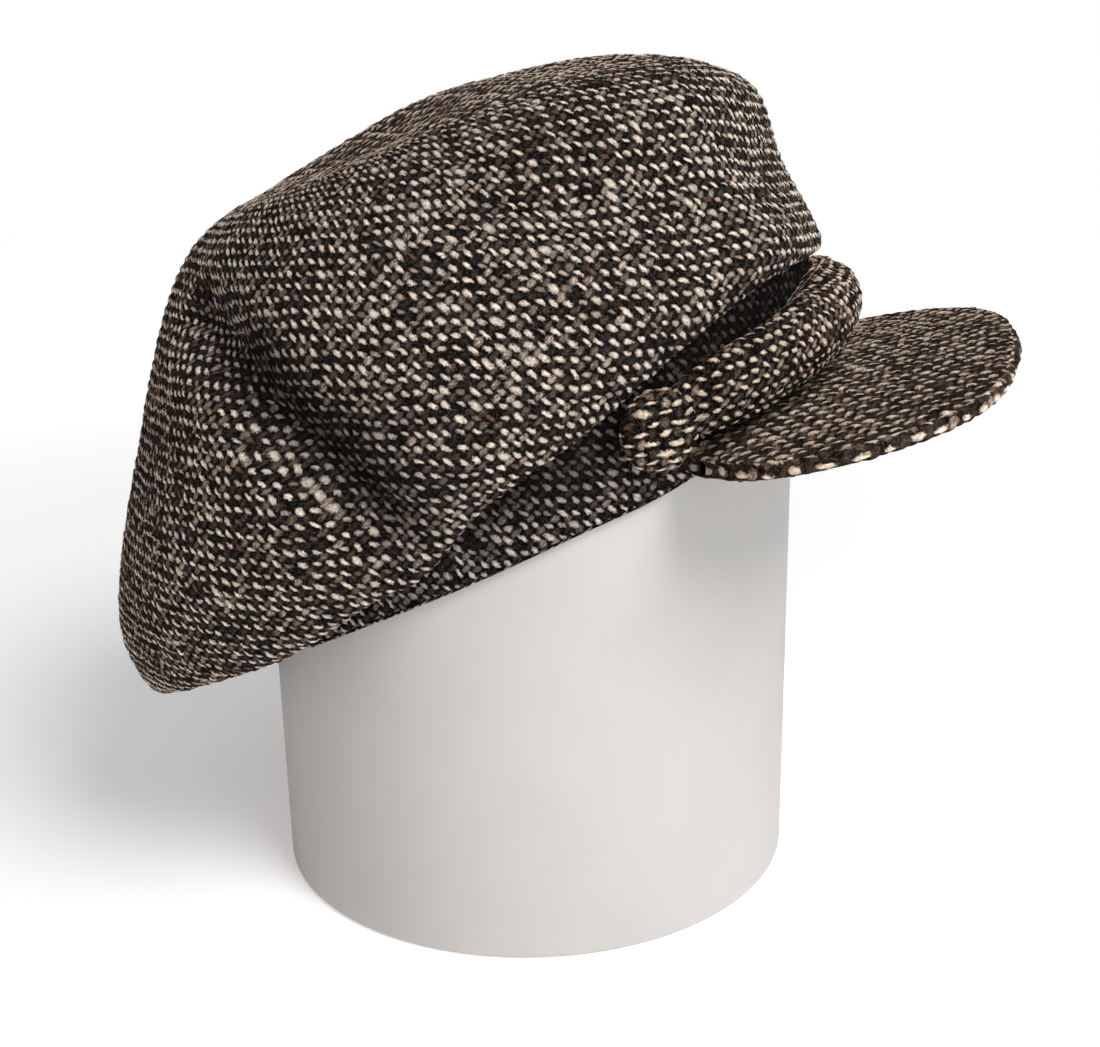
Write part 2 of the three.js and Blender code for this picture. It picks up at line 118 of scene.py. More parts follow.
# Shade on the band: how far below its upper edge it starts and is full. By the right button it
# lies lower and is weaker.
BAND_SHADE = (22, 7)
BUTTON_SHADE_DIRECTION = -66
BUTTON_SHADE_WIDTH = 26
BUTTON_SHADE_DROP = 12
BUTTON_SHADE_LOSS = 0.25

# Crown: direction round an upright line behind the stand's axis, then the reach and the height
# of the fold, of the low and the high part of the side, of the shoulder and of the upper face
CROWN_CENTRE_X = -30
CROWN_TOP_HEIGHT = 248.5
CROWN_TOP_SLOPE = 0.36
CROWN_TOP_FLAT = 18
# How far the crown stands off the band, and above its upper edge where it is sewn on
NECK_OUT = 1
SEAM_GAP = 0.8
CROWN_ROWS = [
    (-180, 99, 47, 112.5, 70, 101.5, 138, 80, 204, 50, 226.5),
    (-150, 100, 55.5, 112, 75, 101, 139, 79.5, 204.5, 50, 226),
    (-120, 103, 74.5, 113.5, 99, 104, 155, 81.5, 209.5, 50, 228),
    (-105, 104, 85.5, 117, 115, 107, 170, 84.5, 214, 50, 230),
    (-90, 106, 98, 119, 128, 110, 180, 87, 220, 50, 233),
    (-75, 109, 117, 120, 143, 112, 190, 90, 227, 50, 238),
    (-68, 110, 124, 119.5, 150, 111.5, 195, 91, 231, 50, 242),
    (-60, 110, 141, 119, 160, 111, 202, 92, 236, 50, 246),
    (-45, 113, 161, 119, 176, 112, 211, 95, 244, 55, 251.5),
    (-30, 119.5, 184, 123, 195, 114, 218, 99, 249, 60, 255),
    (-15, 125, 201.5, 124.5, 209, 114, 224, 103, 252, 70, 259.5),
    (0, 124.5, 203.5, 122, 211.5, 112, 229, 102, 251.5, 75, 260),
    (15, 123.5, 205.5, 121, 212.5, 111.5, 229, 101, 253, 75, 260.5),
    (30, 119.5, 205, 119.5, 212, 112, 228, 101, 252, 70, 259.5),
    (60, 110, 160, 119, 178, 112, 214, 94, 244, 52, 254),
    (90, 108, 114, 119, 140, 111, 190, 89, 230, 50, 245),
    (120, 102, 86, 115, 115, 106.5, 160, 85, 215, 50, 234),
    (150, 100, 60, 114, 83, 103, 144, 82.5, 204, 50, 229),
]
HIGH = 6
# Steps of a coarse profile between its knots. By these ring numbers the dents and the relief
# fade in and the shade at the crown's lower edge fades out.
CROWN_STEPS = (3, 4, 4, 4, 3, 2, 1)
HIGH_RING = 1 + sum(CROWN_STEPS[:3])
SHOULDER_RING = 1 + sum(CROWN_STEPS[:4])
DENT_RINGS = (4, 9)
RELIEF_RINGS = (0.2, 1.5)
EDGE_SHADE_RINGS = (1, 3.2)
# Points of a smooth profile from one knot to the next
CROWN_PER_SPAN = 26
# Dents push the cloth towards this point
CROWN_HEART = (-25, 0, 150)
# Soft dents: from point, to point, width, depth
DENT_ROWS = [
    (-50, -99, 196, -12, -114, 171, 19, 5.5),
    (0, -115, 164, 14, -108, 138, 17, 6.5),
    (54, -80, 198, 50, -82, 172, 20, -2.5),
    (68, -45, 240, 85, -38, 200, 11, -2),
    (22, -70, 236, 48, -68, 216, 18, 2),
    (-62, 88, 190, -5, 112, 160, 20, 5.5),
    (35, 92, 200, 30, 96, 178, 22, -2),
    (-128, 12, 160, -142, 22, 95, 17, 3.5),
    (-52, 18, 242, 0, 34, 255, 26, 2.5),
]
# Sharper folds on top of the dents: their points, width, depth. A ridge has a depth below zero.
FOLD_ROWS = [
    ([(-65, -86, 192), (-39, -104, 177), (-26, -109, 165), (-14, -110, 154), (-3, -110, 144),
      (3, -108, 137)], 9, 8),
    ([(-26, -109, 165), (-14, -110, 154), (-4, -110, 145)], 8, 2.5),
    ([(-54, -90, 203), (-30, -104, 190), (-13, -108, 178), (1, -108, 167), (12, -108, 156),
      (19, -105, 145)], 12, -4),
    ([(-70, -86, 178), (-46, -105, 166), (-30, -111, 154), (-18, -112, 144)], 10, -2),
    ([(18, -82, 234), (29, -85, 223), (43, -79, 218)], 9, 2.5),
]
# Lines of painted shade in the long fold: points on the undented crown, width, how dark. They are
# moved this far inwards, to lie on the fold's floor.
FOLD_SHADE_DEPTH = 7
CROWN_FOLD_SHADE_LINES = [
    ([(-60, -88, 194), (-35, -104, 182)], 9, 0.35),
    ([(-35, -104, 182), (-21, -108, 171), (-9, -109, 161), (2, -109, 152), (9, -107, 145)],
     14, 0.95),
]
# Share of the way from the shoulder to the upper face where the side piece ends
CROWN_SPLIT = 0.3
CROWN_COLUMNS = 832
CROWN_UNROLLED_RADIUS = CROWN_COLUMNS / 4 * YARN * math.sqrt(2) / (2 * math.pi)
CROWN_ROW_STEP = YARN * math.sqrt(2) / 4
# Points of a row that are nearer than this share of a step to an edge move onto it
CROWN_SNAP = 0.3
CROWN_TOP_RINGS = 104
# The top's rings lose every other point as they shrink, down to this many points
CROWN_TOP_CROWDING = 0.62
CROWN_TOP_FEWEST = 52
CROWN_TOP_WEAVE_TURN = 8
# Cut sizes of the right side, left side and top: width, length and area, in metres
CROWN_CUTS = [
    (0.42, 0.21, 0.0557),
    (0.42, 0.2, 0.052),
    (0.19, 0.15, 0.0222),
]

# Peak
PEAK_THICKNESS = 4.5
PEAK_HEIGHT = 143
PEAK_RISE_FORWARD = 0.2255
PEAK_RISE_LEFT = 0.134
PEAK_ARCH = 5
PEAK_HALF_WIDTH = 79
PEAK_ROOT_DIRECTION = 41
PEAK_TURN = 3.5
PEAK_SECTIONS = 300
PEAK_ROWS = 72
PEAK_RIM_POINTS = 9
PEAK_PER_SPAN = 40
# Shade at the peak's root: full up to one distance from the band and gone at the other
PEAK_SHADE = (8, 15)
PEAK_SHADE_STRENGTH = 0.8
PEAK_END_SHADE = 0.4
# Half the height of the peak's ends, in yarns
PEAK_END_LEVEL = 0.75
PEAK_OUTLINE_ROWS = [
    (0, 154),
    (20, 152.5),
    (40, 149.5),
    (58, 141.5),
    (71, 127),
    (78.5, 106),
    (76.5, 89),
    (66, 74.5),
]

# Front strap: direction, height of its middle, outermost reach, height from edge to edge
STRAP_ROWS = [
    (-51.5, 159.5, 95.4, 19),
    (-46, 161, 95.5, 20),
    (-40.5, 164.8, 96.2, 23),
    (-36, 168.5, 101, 26),
    (-30, 171.9, 104, 29),
    (-15, 179.9, 106.5, 30),
    (0, 185, 107.5, 30),
    (15, 186.8, 107, 30),
    (30, 185.3, 104.5, 29),
    (36, 184, 101, 26),
    (40.5, 182.5, 96.2, 23),
    (46, 180.5, 95.5, 20),
    (51.5, 178.5, 95.4, 19),
]
STRAP_HEIGHT, STRAP_REACH, STRAP_TALL = 1, 2, 3
STRAP_END_SHARE = 0.35
STRAP_COLUMNS = 232
STRAP_AROUND = 96
STRAP_PER_SPAN = 12
STRAP_UNROLLED_RADIUS = 102
# Past the front the roll's top lies flat against the crown: between which directions that
# starts, how much it rises, over what share of the reach and above what height
STRAP_FLAT_DIRECTIONS = (-22, 0)
STRAP_FLAT_TOP = 6.5
STRAP_FLAT_SHARE = 0.6
STRAP_FLAT_HEIGHT = 4
# Shade behind the roll's top: how dark, up to what shares of the reach, above what heights
STRAP_SHADE_STRENGTH = 0.9
STRAP_SHADE_SHARES = (0.2, 0.5)
STRAP_SHADE_HEIGHTS = (-2, 2)
STRAP_SECTION_ROWS = [
    (0, -0.5), (0.3, -0.76), (0.62, -0.74), (0.88, -0.42), (1, 0),
    (0.94, 0.38), (0.76, 0.68), (0.54, 0.78), (0.34, 0.72), (0.16, 0.5), (0, 0.34),
]

# Covered buttons: name, direction, height, seed. The profile is in radii and depths.
BUTTON_RADIUS = 11
BUTTON_DEPTH = 6.5
BUTTON_ROWS = [
    ("right_button", -47, 160.5, 12),
    ("left_button", 47, 180, 14),
]
BUTTON_COLUMNS = 108
BUTTON_RINGS = 30
BUTTON_PER_SPAN = 16
BUTTON_PROFILE = [
    (0.8, -0.4), (0.9, 0), (0.985, 0.16), (1, 0.38), (0.965, 0.56),
    (0.86, 0.76), (0.68, 0.9), (0.45, 0.975), (0.2, 1), (0.02, 1),
]


# Smooth values between the rows of a table, whose first column is a direction
def table_value(rows, column, directions, turn=0):
    data = np.array(rows, float)
    at, value = data[:, 0], data[:, column]
    where = np.asarray(directions, float)
    if turn:
        where = (where - at[0]) % turn + at[0]
        at = np.concatenate([at[-2:] - turn, at, at[:3] + turn])
        value = np.concatenate([value[-2:], value, value[:3]])
    last = len(at) - 1
    low = np.clip(np.searchsorted(at, where, side="right") - 1, 0, last - 1)
    before = np.maximum(low - 1, 0)
    after = np.minimum(low + 2, last)
    span = at[low + 1] - at[low]
    share = (where - at[low]) / span
    slope_low = (value[low + 1] - value[before]) / (at[low + 1] - at[before]) * span
    slope_high = (value[after] - value[low]) / (at[after] - at[low]) * span
    return hermite(share, value[low], value[low + 1], slope_low, slope_high)


def hermite(share, start, end, slope_start, slope_end):
    square = share * share
    cube = square * share
    return ((2 * cube - 3 * square + 1) * start + (cube - 2 * square + share) * slope_start
            + (3 * square - 2 * cube) * end + (cube - square) * slope_end)


# Smooth curves through knots (n, knots, axes), with the same number of points in each span
def smooth_curves(knots, per_span):
    first = 2 * knots[:, :1] - knots[:, 1:2]
    last = 2 * knots[:, -1:] - knots[:, -2:-1]
    p = np.concatenate([first, knots, last], axis=1)
    gap = np.maximum(np.sum((p[:, 1:] - p[:, :-1]) ** 2, axis=-1), TINY) ** 0.25
    spans = []
    share = (np.arange(per_span) / per_span)[None, :, None]
    for span in range(knots.shape[1] - 1):
        p0, p1, p2, p3 = (p[:, span + k, None] for k in range(4))
        d0, d1, d2 = (gap[:, span + k, None, None] for k in range(3))
        start = ((p1 - p0) / d0 - (p2 - p0) / (d0 + d1) + (p2 - p1) / d1) * d1
        end = ((p2 - p1) / d1 - (p3 - p1) / (d1 + d2) + (p3 - p2) / d2) * d1
        spans.append(hermite(share, p1, p2, start, end))
    spans.append(knots[:, -1:])
    return np.concatenate(spans, axis=1)


def lengths_along(points):
    steps = np.linalg.norm(np.diff(points, axis=1), axis=-1)
    return np.concatenate([np.zeros((len(points), 1)), np.cumsum(steps, axis=1)], axis=1)


# The lengths along a curve and the points there, evenly spaced
def even_points(curve, count):
    lengths = lengths_along(curve[None])[0]
    wanted = np.linspace(0, lengths[-1], count)
    return wanted, np.stack([np.interp(wanted, lengths, axis) for axis in curve.T], axis=1)


# Values of each curve at the wanted lengths along it
def at_lengths(wanted, lengths, values):
    return np.array([np.interp(w, s, v) for w, s, v in zip(wanted, lengths, values)])


# Points at a radius and an angle round the upright axis
def round_axis(radius, angle, height):
    places = np.broadcast_arrays(radius * np.cos(angle), radius * np.sin(angle), height)
    return np.stack(places, axis=-1)


# Numbers of an integer hash
WORD = 2 ** 32
SEED_FACTOR = 2654435761
CELL_FACTOR = 73856093
AXIS_FACTOR = 19349663
MIXING_ROWS = [
    (2246822519, 13),
    (3266489917, 16),
]


# A seeded random number from 0 to 1 for each cell, which has whole numbers on any number of axes
def scatter(cells, seed):
    mixed = np.full(cells.shape[:-1], seed * SEED_FACTOR % WORD, np.uint32)
    for axis in range(cells.shape[-1]):
        cell = cells[..., axis].astype(np.int64) * CELL_FACTOR + axis * AXIS_FACTOR
        mixed = mixed ^ cell.astype(np.uint32)
        for factor, shift in MIXING_ROWS:
            mixed = mixed * np.uint32(factor)
            mixed = mixed ^ (mixed >> np.uint32(shift))
    return mixed.astype(np.float64) / (WORD - 1)


# Seeded smooth noise between -1 and 1
def smooth_noise(points, seed):
    axes = points.shape[-1]
    base = np.floor(points)
    share = points - base
    share = share * share * (3 - 2 * share)
    total = np.zeros(points.shape[:-1])
    for corner in range(2 ** axes):
        step = np.array([(corner >> axis) & 1 for axis in range(axes)])
        weight = np.prod(np.where(step == 1, share, 1 - share), axis=-1)
        total += weight * scatter(base + step, seed)
    return 2 * total - 1


def smooth_step(value, low, high):
    share = np.clip((value - low) / (high - low), 0, 1)
    return share * share * (3 - 2 * share)


# Weave coordinates, counted in yarns: the first along the light yarns, the second across them.
# Here the yarns run at 45 degrees to the edges of the cloth.
def bias_cut(along, up):
    half = math.sqrt(0.5) / YARN
    return np.stack([(along - up) * half, (along + up) * half], axis=-1)


def loosened(weave, seed):
    loose = weave.copy()
    for axis in range(2):
        for amount, length, shift, more in WANDER_ROWS:
            loose[..., axis] += amount * smooth_noise(weave / length + shift, seed + more + axis)
    return loose


# Light nubs over lower dark ones, as the two yarns cross over each other
def weave_height(weave, seed):
    a, b = weave[..., 0], weave[..., 1]
    i, j = np.floor(a + 0.5), np.floor(b + 0.5)
    nub = 2 * np.floor((a + j) / 2 + 0.5) - j
    knot = 2 * np.floor((b + i + 1) / 2 + 0.5) - i - 1
    thick = scatter(np.stack([nub, j], axis=-1), seed)
    least, more = LIGHT_RISE_SHARES
    light = dome(a - nub, b - j, LIGHT_NUB) * (LIGHT_RISE * (least + more * thick))
    dark = dome(b - knot, a - i, DARK_NUB) * DARK_RISE
    return np.maximum(light, dark) - GROUND_DEPTH


def dome(along, across, half_size):
    far = (along / half_size[0]) ** 2 + (across / half_size[1]) ** 2
    return np.sqrt(np.maximum(1 - far, 0))


def vertex_normals(points, quads):
    normals = np.zeros_like(points)
    a, b, c, d = (points[quads[:, k]] for k in range(4))
    facing = np.cross(c - a, d - b)
    for k in range(4):
        np.add.at(normals, quads[:, k], facing)
    return normals / np.maximum(np.linalg.norm(normals, axis=1, keepdims=True), TINY)


# Quads between two rings of vertex numbers, the second with as many or half as many
def ring_quads(lower, upper, closed=True):
    if len(upper) == len(lower):
        quads = np.stack([lower, np.roll(lower, -1), np.roll(upper, -1), upper], axis=1)
        return quads if closed else quads[:-1]
    even, odd = lower[0::2], lower[1::2]
    after = np.roll(even, -1)
    next_upper = np.roll(upper, -1)
    first = np.stack([even, odd, upper, upper], axis=1)
    second = np.stack([odd, after, next_upper, upper], axis=1)
    return np.concatenate([first, second])


# Triangles from a ring of vertex numbers to one in its middle
def lid_quads(ring, middle, flipped=False):
    centre = np.full(len(ring), middle)
    lid = np.stack([ring, np.roll(ring, -1), centre, centre], axis=1)
    return lid[:, ::-1] if flipped else lid


# Closes a ring with triangles round its middle, which becomes the last point
def with_lid(points, weave, quads, ring, flipped):
    quads = np.concatenate([quads, lid_quads(ring, len(points), flipped)])
    points = np.concatenate([points, points[ring].mean(axis=0)[None]])
    weave = np.concatenate([weave, weave[ring].mean(axis=0)[None]])
    return points, weave, quads


# The weave jumps where a piece closes behind, so its last quads use copies of the first column,
# which with_copies adds after all other points
def on_copies(quads, column, first_copy):
    copy_of = {number: first_copy + place for place, number in enumerate(column.tolist())}
    return np.array([[copy_of.get(v, v) for v in quad] for quad in quads.tolist()])


def with_copies(column, *arrays):
    return [np.concatenate([array, array[column]]) for array in arrays]


# Leaves out faces that have shrunk to a line, and keeps triangles as quads with a double corner
def real_quads(quads):
    distinct = np.array([len(set(q)) for q in quads.tolist()])
    return quads[distinct >= 3]


def face_list(quads):
    faces = []
    for quad in quads.tolist():
        faces.append([v for k, v in enumerate(quad) if v != quad[k - 1]])
    return faces


def placed(name, data):
    obj = bpy.data.objects.new(name, data)
    bpy.context.collection.objects.link(obj)
    return obj


# A mesh object from points in millimetres; weave is stored as its UV map
def make_object(name, points, quads, material, weave=None, normals=None, painted_shade=None):
    used, renumbered = np.unique(quads, return_inverse=True)
    quads = renumbered.reshape(quads.shape)
    mesh = bpy.data.meshes.new(name)
    mesh.from_pydata((points[used] * MILLIMETRE).tolist(), [], face_list(quads))
    mesh.polygons.foreach_set("use_smooth", [True] * len(mesh.polygons))
    if weave is not None:
        corners = np.zeros(len(mesh.loops), np.int32)
        mesh.loops.foreach_get("vertex_index", corners)
        layer = mesh.uv_layers.new(name="weave")
        layer.data.foreach_set("uv", weave[used][corners].astype(np.float32).ravel())
    # Painted shade, where given, is kept as a point attribute that darkens the colour
    if painted_shade is not None:
        layer = mesh.attributes.new("painted_shade", "FLOAT", "POINT")
        layer.data.foreach_set("value", painted_shade[used].astype(np.float32))
    mesh.materials.append(material)
    mesh.update()
    if normals is not None:
        mesh.normals_split_custom_set_from_vertices(normals[used].tolist())
    return placed(name, mesh)


# How deep each point lies in the lines of painted shade of a table, from 0 to 1
def painted_fold_shade(points, rows):
    deep = np.zeros(len(points))
    for line, width, amount in rows:
        corners = np.array(line, float)
        low = corners + heartward(corners) * FOLD_SHADE_DEPTH
        deep = np.maximum(deep, amount * closeness(points, low, width))
    return deep


# Moves the points out by a height
def risen(points, quads, height):
    raised = points + vertex_normals(points, quads) * height[:, None]
    return raised, vertex_normals(raised, quads)


# Moves the points out and in as the yarns rise and fall
def woven(points, quads, weave, seed, share=1):
    return risen(points, quads, weave_height(weave, seed) * share)


# Profile of the crown in each direction, from its seam on the band to the middle of the top
def crown_curves(directions):
    angle = np.radians(directions)
    across = CROWN_CENTRE_X * np.sin(angle)
    along = CROWN_CENTRE_X * np.cos(angle)
    seam_reach = np.sqrt(SEAM_RADIUS ** 2 - across ** 2) - along
    neck_reach = np.sqrt(BAND_OUTER_RADIUS ** 2 - across ** 2) - along + NECK_OUT
    seam_x = CROWN_CENTRE_X + seam_reach * np.cos(angle)
    seam_direction = np.degrees(np.arctan2(seam_reach * np.sin(angle), seam_x))
    seam = table_value(BAND_ROWS, SEAM, seam_direction, 360) + SEAM_GAP
    flat = CROWN_TOP_HEIGHT + CROWN_TOP_SLOPE * CROWN_TOP_FLAT * np.cos(angle)
    columns = range(1, len(CROWN_ROWS[0]))
    value = [table_value(CROWN_ROWS, column, directions, 360) for column in columns]
    reach = [neck_reach, *value[0::2], np.full_like(angle, CROWN_TOP_FLAT), np.zeros_like(angle)]
    height = [seam, *value[1::2], flat, np.full_like(angle, CROWN_TOP_HEIGHT)]
    knots = np.stack([np.stack(reach, axis=1), np.stack(height, axis=1)], axis=2)
    curves = smooth_curves(knots, CROWN_PER_SPAN)
    start = np.stack([seam_reach, seam], axis=1)[:, None]
    return np.concatenate([start, curves], axis=1)


# Coarse ring number of each point of a crown curve
def ring_numbers():
    rings = [0.0]
    first = 1
    for steps in CROWN_STEPS:
        rings += [first + steps * k / CROWN_PER_SPAN for k in range(CROWN_PER_SPAN)]
        first += steps
    return np.array(rings + [first])


def dented(points, rings):
    cover = smooth_step(rings, *DENT_RINGS)
    depth = np.zeros(len(points))
    for x0, y0, z0, x1, y1, z1, width, deep in DENT_ROWS:
        depth += deep * closeness(points, [(x0, y0, z0), (x1, y1, z1)], width)
    moved = points + heartward(points) * (depth * cover)[:, None]
    depth = np.zeros(len(points))
    for line, width, deep in FOLD_ROWS:
        depth += deep * closeness(moved, line, width)
    return moved + heartward(moved) * (depth * cover)[:, None]


def heartward(points):
    inward = np.array(CROWN_HEART) - points
    return inward / np.linalg.norm(inward, axis=1, keepdims=True)


# 1 on a line through the corners, falling smoothly to 0 away from it
def closeness(points, corners, width):
    nearest = np.full(len(points), np.inf)
    for first, second in zip(corners, corners[1:]):
        start = np.array(first, float)
        line = np.array(second, float) - start
        share = np.clip((points - start) @ line / (line @ line), 0, 1)
        away = np.linalg.norm(points - start - share[:, None] * line, axis=1)
        nearest = np.minimum(nearest, away)
    return np.exp(-(nearest / width) ** 2)


def crown_points(directions, curves, lengths, wanted):
    reach = at_lengths(wanted, lengths, curves[..., 0])
    height = at_lengths(wanted, lengths, curves[..., 1])
    rings = at_lengths(wanted, lengths, [ring_numbers()] * len(lengths))
    angle = np.radians(directions)[:, None]
    return round_axis(reach, angle, height) + (CROWN_CENTRE_X, 0, 0), rings


# Sides of the crown in level rows of cloth, from the band up to the length where the top starts
def crown_side(directions, curves, lengths, split):
    high_at = np.searchsorted(ring_numbers(), HIGH_RING)
    level = lengths[:, high_at] - table_value(CROWN_ROWS, HIGH, directions, 360)
    step = CROWN_ROW_STEP
    first = math.floor((-level).min() / step)
    last = math.ceil((split - level).max() / step)
    rows = np.arange(first, last + 1) * step
    wanted = rows[None, :] + level[:, None]
    below = wanted < step * CROWN_SNAP
    above = wanted > (split - step * CROWN_SNAP)[:, None]
    wanted = np.where(below, 0, np.where(above, split[:, None], wanted))
    points, ring = crown_points(directions, curves, lengths, wanted)
    numbers = np.arange(wanted.size).reshape(wanted.shape)
    numbers = np.where(below, numbers[:, :1], np.where(above, numbers[:, -1:], numbers))
    along = np.radians(directions) * CROWN_UNROLLED_RADIUS
    weave = bias_cut(along[:, None] + 0 * wanted, wanted - level[:, None])
    return points.reshape(-1, 3), ring.reshape(-1), weave.reshape(-1, 2), numbers


def crown():
    directions = np.arange(CROWN_COLUMNS) * 360 / CROWN_COLUMNS - 180
    curves = crown_curves(directions)
    lengths = lengths_along(curves)
    split_ring = SHOULDER_RING + CROWN_STEPS[4] * CROWN_SPLIT
    split = np.array([np.interp(split_ring, ring_numbers(), s) for s in lengths])
    points, ring, weave, numbers = crown_side(directions, curves, lengths, split)
    strips = []
    for column in range(CROWN_COLUMNS):
        here, there = numbers[column], numbers[(column + 1) % CROWN_COLUMNS]
        strips.append(np.stack([here[:-1], there[:-1], there[1:], here[1:]], axis=1))
    half = CROWN_COLUMNS // 2
    right = real_quads(np.concatenate(strips[:half]))
    left = real_quads(np.concatenate(strips[half:]))
    top_edge = numbers[:, -1]
    more, more_rings, upper = crown_top(directions, curves, lengths, split, top_edge, len(points))
    ring = np.concatenate([ring, more_rings])
    points = dented(np.concatenate([points, more]), ring)
    everything = np.concatenate([right, left, upper])
    side_weave = loosened(weave, seed=11)
    upper_used = np.unique(upper)
    top_weave = np.zeros((len(points), 2))
    top_weave[upper_used] = loosened(top_cut(points[upper_used]), seed=31)
    side_height = weave_height(side_weave, seed=3)
    top_height = weave_height(top_weave[len(side_weave):], seed=4)
    height = np.concatenate([side_height, top_height]) * smooth_step(ring, *RELIEF_RINGS)
    raised, normals = risen(points, everything, height)
    # Painted shade: darker at the crown's lower edge over the band and along the lines in the long
    # fold
    painted_shade = 1 - smooth_step(ring, *EDGE_SHADE_RINGS)
    painted_shade = np.maximum(painted_shade, painted_fold_shade(raised, CROWN_FOLD_SHADE_LINES))
    behind = numbers[0]
    closing = on_copies(real_quads(strips[-1]), behind, len(raised))
    left = np.concatenate([real_quads(np.concatenate(strips[half:-1])), closing])
    side_weave = np.concatenate([side_weave, np.zeros((len(more), 2))])
    turned = side_weave[behind] + bias_cut(2 * math.pi * CROWN_UNROLLED_RADIUS, 0)
    side_weave = np.concatenate([side_weave, turned])
    raised, normals, painted_shade, top_weave = with_copies(behind, raised, normals, painted_shade, top_weave)
    side_tweed = tweed("crown_tweed", 1)
    # The top's tweed is lighter and browner than the sides': partly painted light on the upward
    # face
    top_tweed = tweed("crown_top_tweed", 2, BROWNISH, lightness_and_painted_light=0.25, dull=0.12)
    made = [
        make_object("crown_right", raised, right, side_tweed, side_weave, normals, painted_shade),
        make_object("crown_left", raised, left, side_tweed, side_weave, normals, painted_shade),
        make_object("crown_top", raised, upper, top_tweed, top_weave, normals, painted_shade),
    ]
    for piece, (width, length, area) in zip(made, CROWN_CUTS):
        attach(piece, "root")
        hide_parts("crown")


# Upper face: rings of fewer and fewer points towards the middle
def crown_top(directions, curves, lengths, start, lower, number):
    total = lengths[:, -1]
    points, rings, quads = [], [], []
    columns = CROWN_COLUMNS
    for ring in range(1, CROWN_TOP_RINGS):
        share = ring / CROWN_TOP_RINGS
        crowded = CROWN_TOP_CROWDING * columns / CROWN_COLUMNS
        if columns > CROWN_TOP_FEWEST and 1 - share < crowded:
            columns //= 2
        stride = CROWN_COLUMNS // columns
        picked = slice(0, None, stride)
        wanted = (start + (total - start) * share)[picked, None]
        parts = (directions[picked], curves[picked], lengths[picked])
        new_points, new_rings = crown_points(*parts, wanted)
        upper = np.arange(number, number + columns)
        number += columns
        points.append(new_points[:, 0])
        rings.append(new_rings[:, 0])
        quads.append(ring_quads(lower, upper))
        lower = upper
    points.append(np.array([[CROWN_CENTRE_X, 0, CROWN_TOP_HEIGHT]], float))
    rings.append(np.array([rings[-1].max()]))
    quads.append(lid_quads(lower, number))
    return np.concatenate(points), np.concatenate(rings), np.concatenate(quads)


# Weave of the upper face, seen from above
def top_cut(points):
    turn = math.radians(CROWN_TOP_WEAVE_TURN)
    along = points[:, 0] * math.cos(turn) + points[:, 1] * math.sin(turn)
    across = points[:, 1] * math.cos(turn) - points[:, 0] * math.sin(turn)
    return np.stack([along / YARN, across / YARN], axis=-1)


def headband():
    directions = np.arange(BAND_COLUMNS) * 360 / BAND_COLUMNS - 180
    hem = table_value(BAND_ROWS, HEM, directions, 360)[:, None]
    seam = table_value(BAND_ROWS, SEAM, directions, 360)[:, None]
    edge = BAND_EDGE_RADIUS
    levels = hem + edge + (seam - hem - edge) * np.linspace(0, 1, BAND_LEVELS)
    outer = np.stack([np.full_like(levels, BAND_OUTER_RADIUS), levels], axis=-1)
    turn = np.radians(np.linspace(*BAND_EDGE_TURN, EDGE_POINTS))
    bend = np.stack([SEAM_RADIUS + edge * -np.cos(turn) + 0 * hem,
                     hem + edge * (1 - np.sin(turn))], axis=-1)
    ends = np.concatenate([seam, hem + edge], axis=1)
    inner = np.stack([np.full_like(ends, BAND_INNER_RADIUS), ends], axis=-1)
    section = np.concatenate([inner, bend[:, 1:], outer], axis=1)
    angle = np.radians(directions)[:, None]
    points = round_axis(section[..., 0], angle, section[..., 1]).reshape(-1, 3)
    up = lengths_along(section)
    up = up - up[:, -1:] + seam
    weave = bias_cut(angle * SEAM_RADIUS + 0 * up, up)
    weave = loosened(weave.reshape(-1, 2), seed=51)
    numbers = np.arange(up.size).reshape(up.shape)
    strips = [ring_quads(numbers[c - 1], numbers[c])[:, ::-1] for c in range(1, BAND_COLUMNS)]
    strips.append(ring_quads(numbers[-1], numbers[0])[:, ::-1])
    share = np.zeros(up.shape)
    share[:, BAND_PLAIN_POINTS:-1] = 1
    quads = np.concatenate(strips)
    raised, normals = woven(points, quads, weave, seed=6, share=share.reshape(-1))
    # Painted shade under the crown's overhang, lower and weaker by the right button
    by_button = np.exp(-((directions[:, None] - BUTTON_SHADE_DIRECTION) / BUTTON_SHADE_WIDTH) ** 2)
    start, full = (-depth - BUTTON_SHADE_DROP * by_button for depth in BAND_SHADE)
    painted_shade = (1 - BUTTON_SHADE_LOSS * by_button) * smooth_step(up - seam, start, full)
    behind = numbers[0]
    quads = np.concatenate([*strips[:-1], on_copies(strips[-1], behind, len(raised))])
    turned = weave[behind] + bias_cut(2 * math.pi * SEAM_RADIUS, 0)
    weave = np.concatenate([weave, turned])
    raised, normals, painted_shade = with_copies(behind, raised, normals, painted_shade.reshape(-1))
    # The band's tweed is tinted darker and cooler: painted shade under the crown's overhang
    material = tweed("band_tweed", 3, SHADED, lightness_and_painted_light=0)
    piece = make_object("headband_cloth", raised, quads, material, weave, normals, painted_shade)
    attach(piece, "root")
    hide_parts("headband")


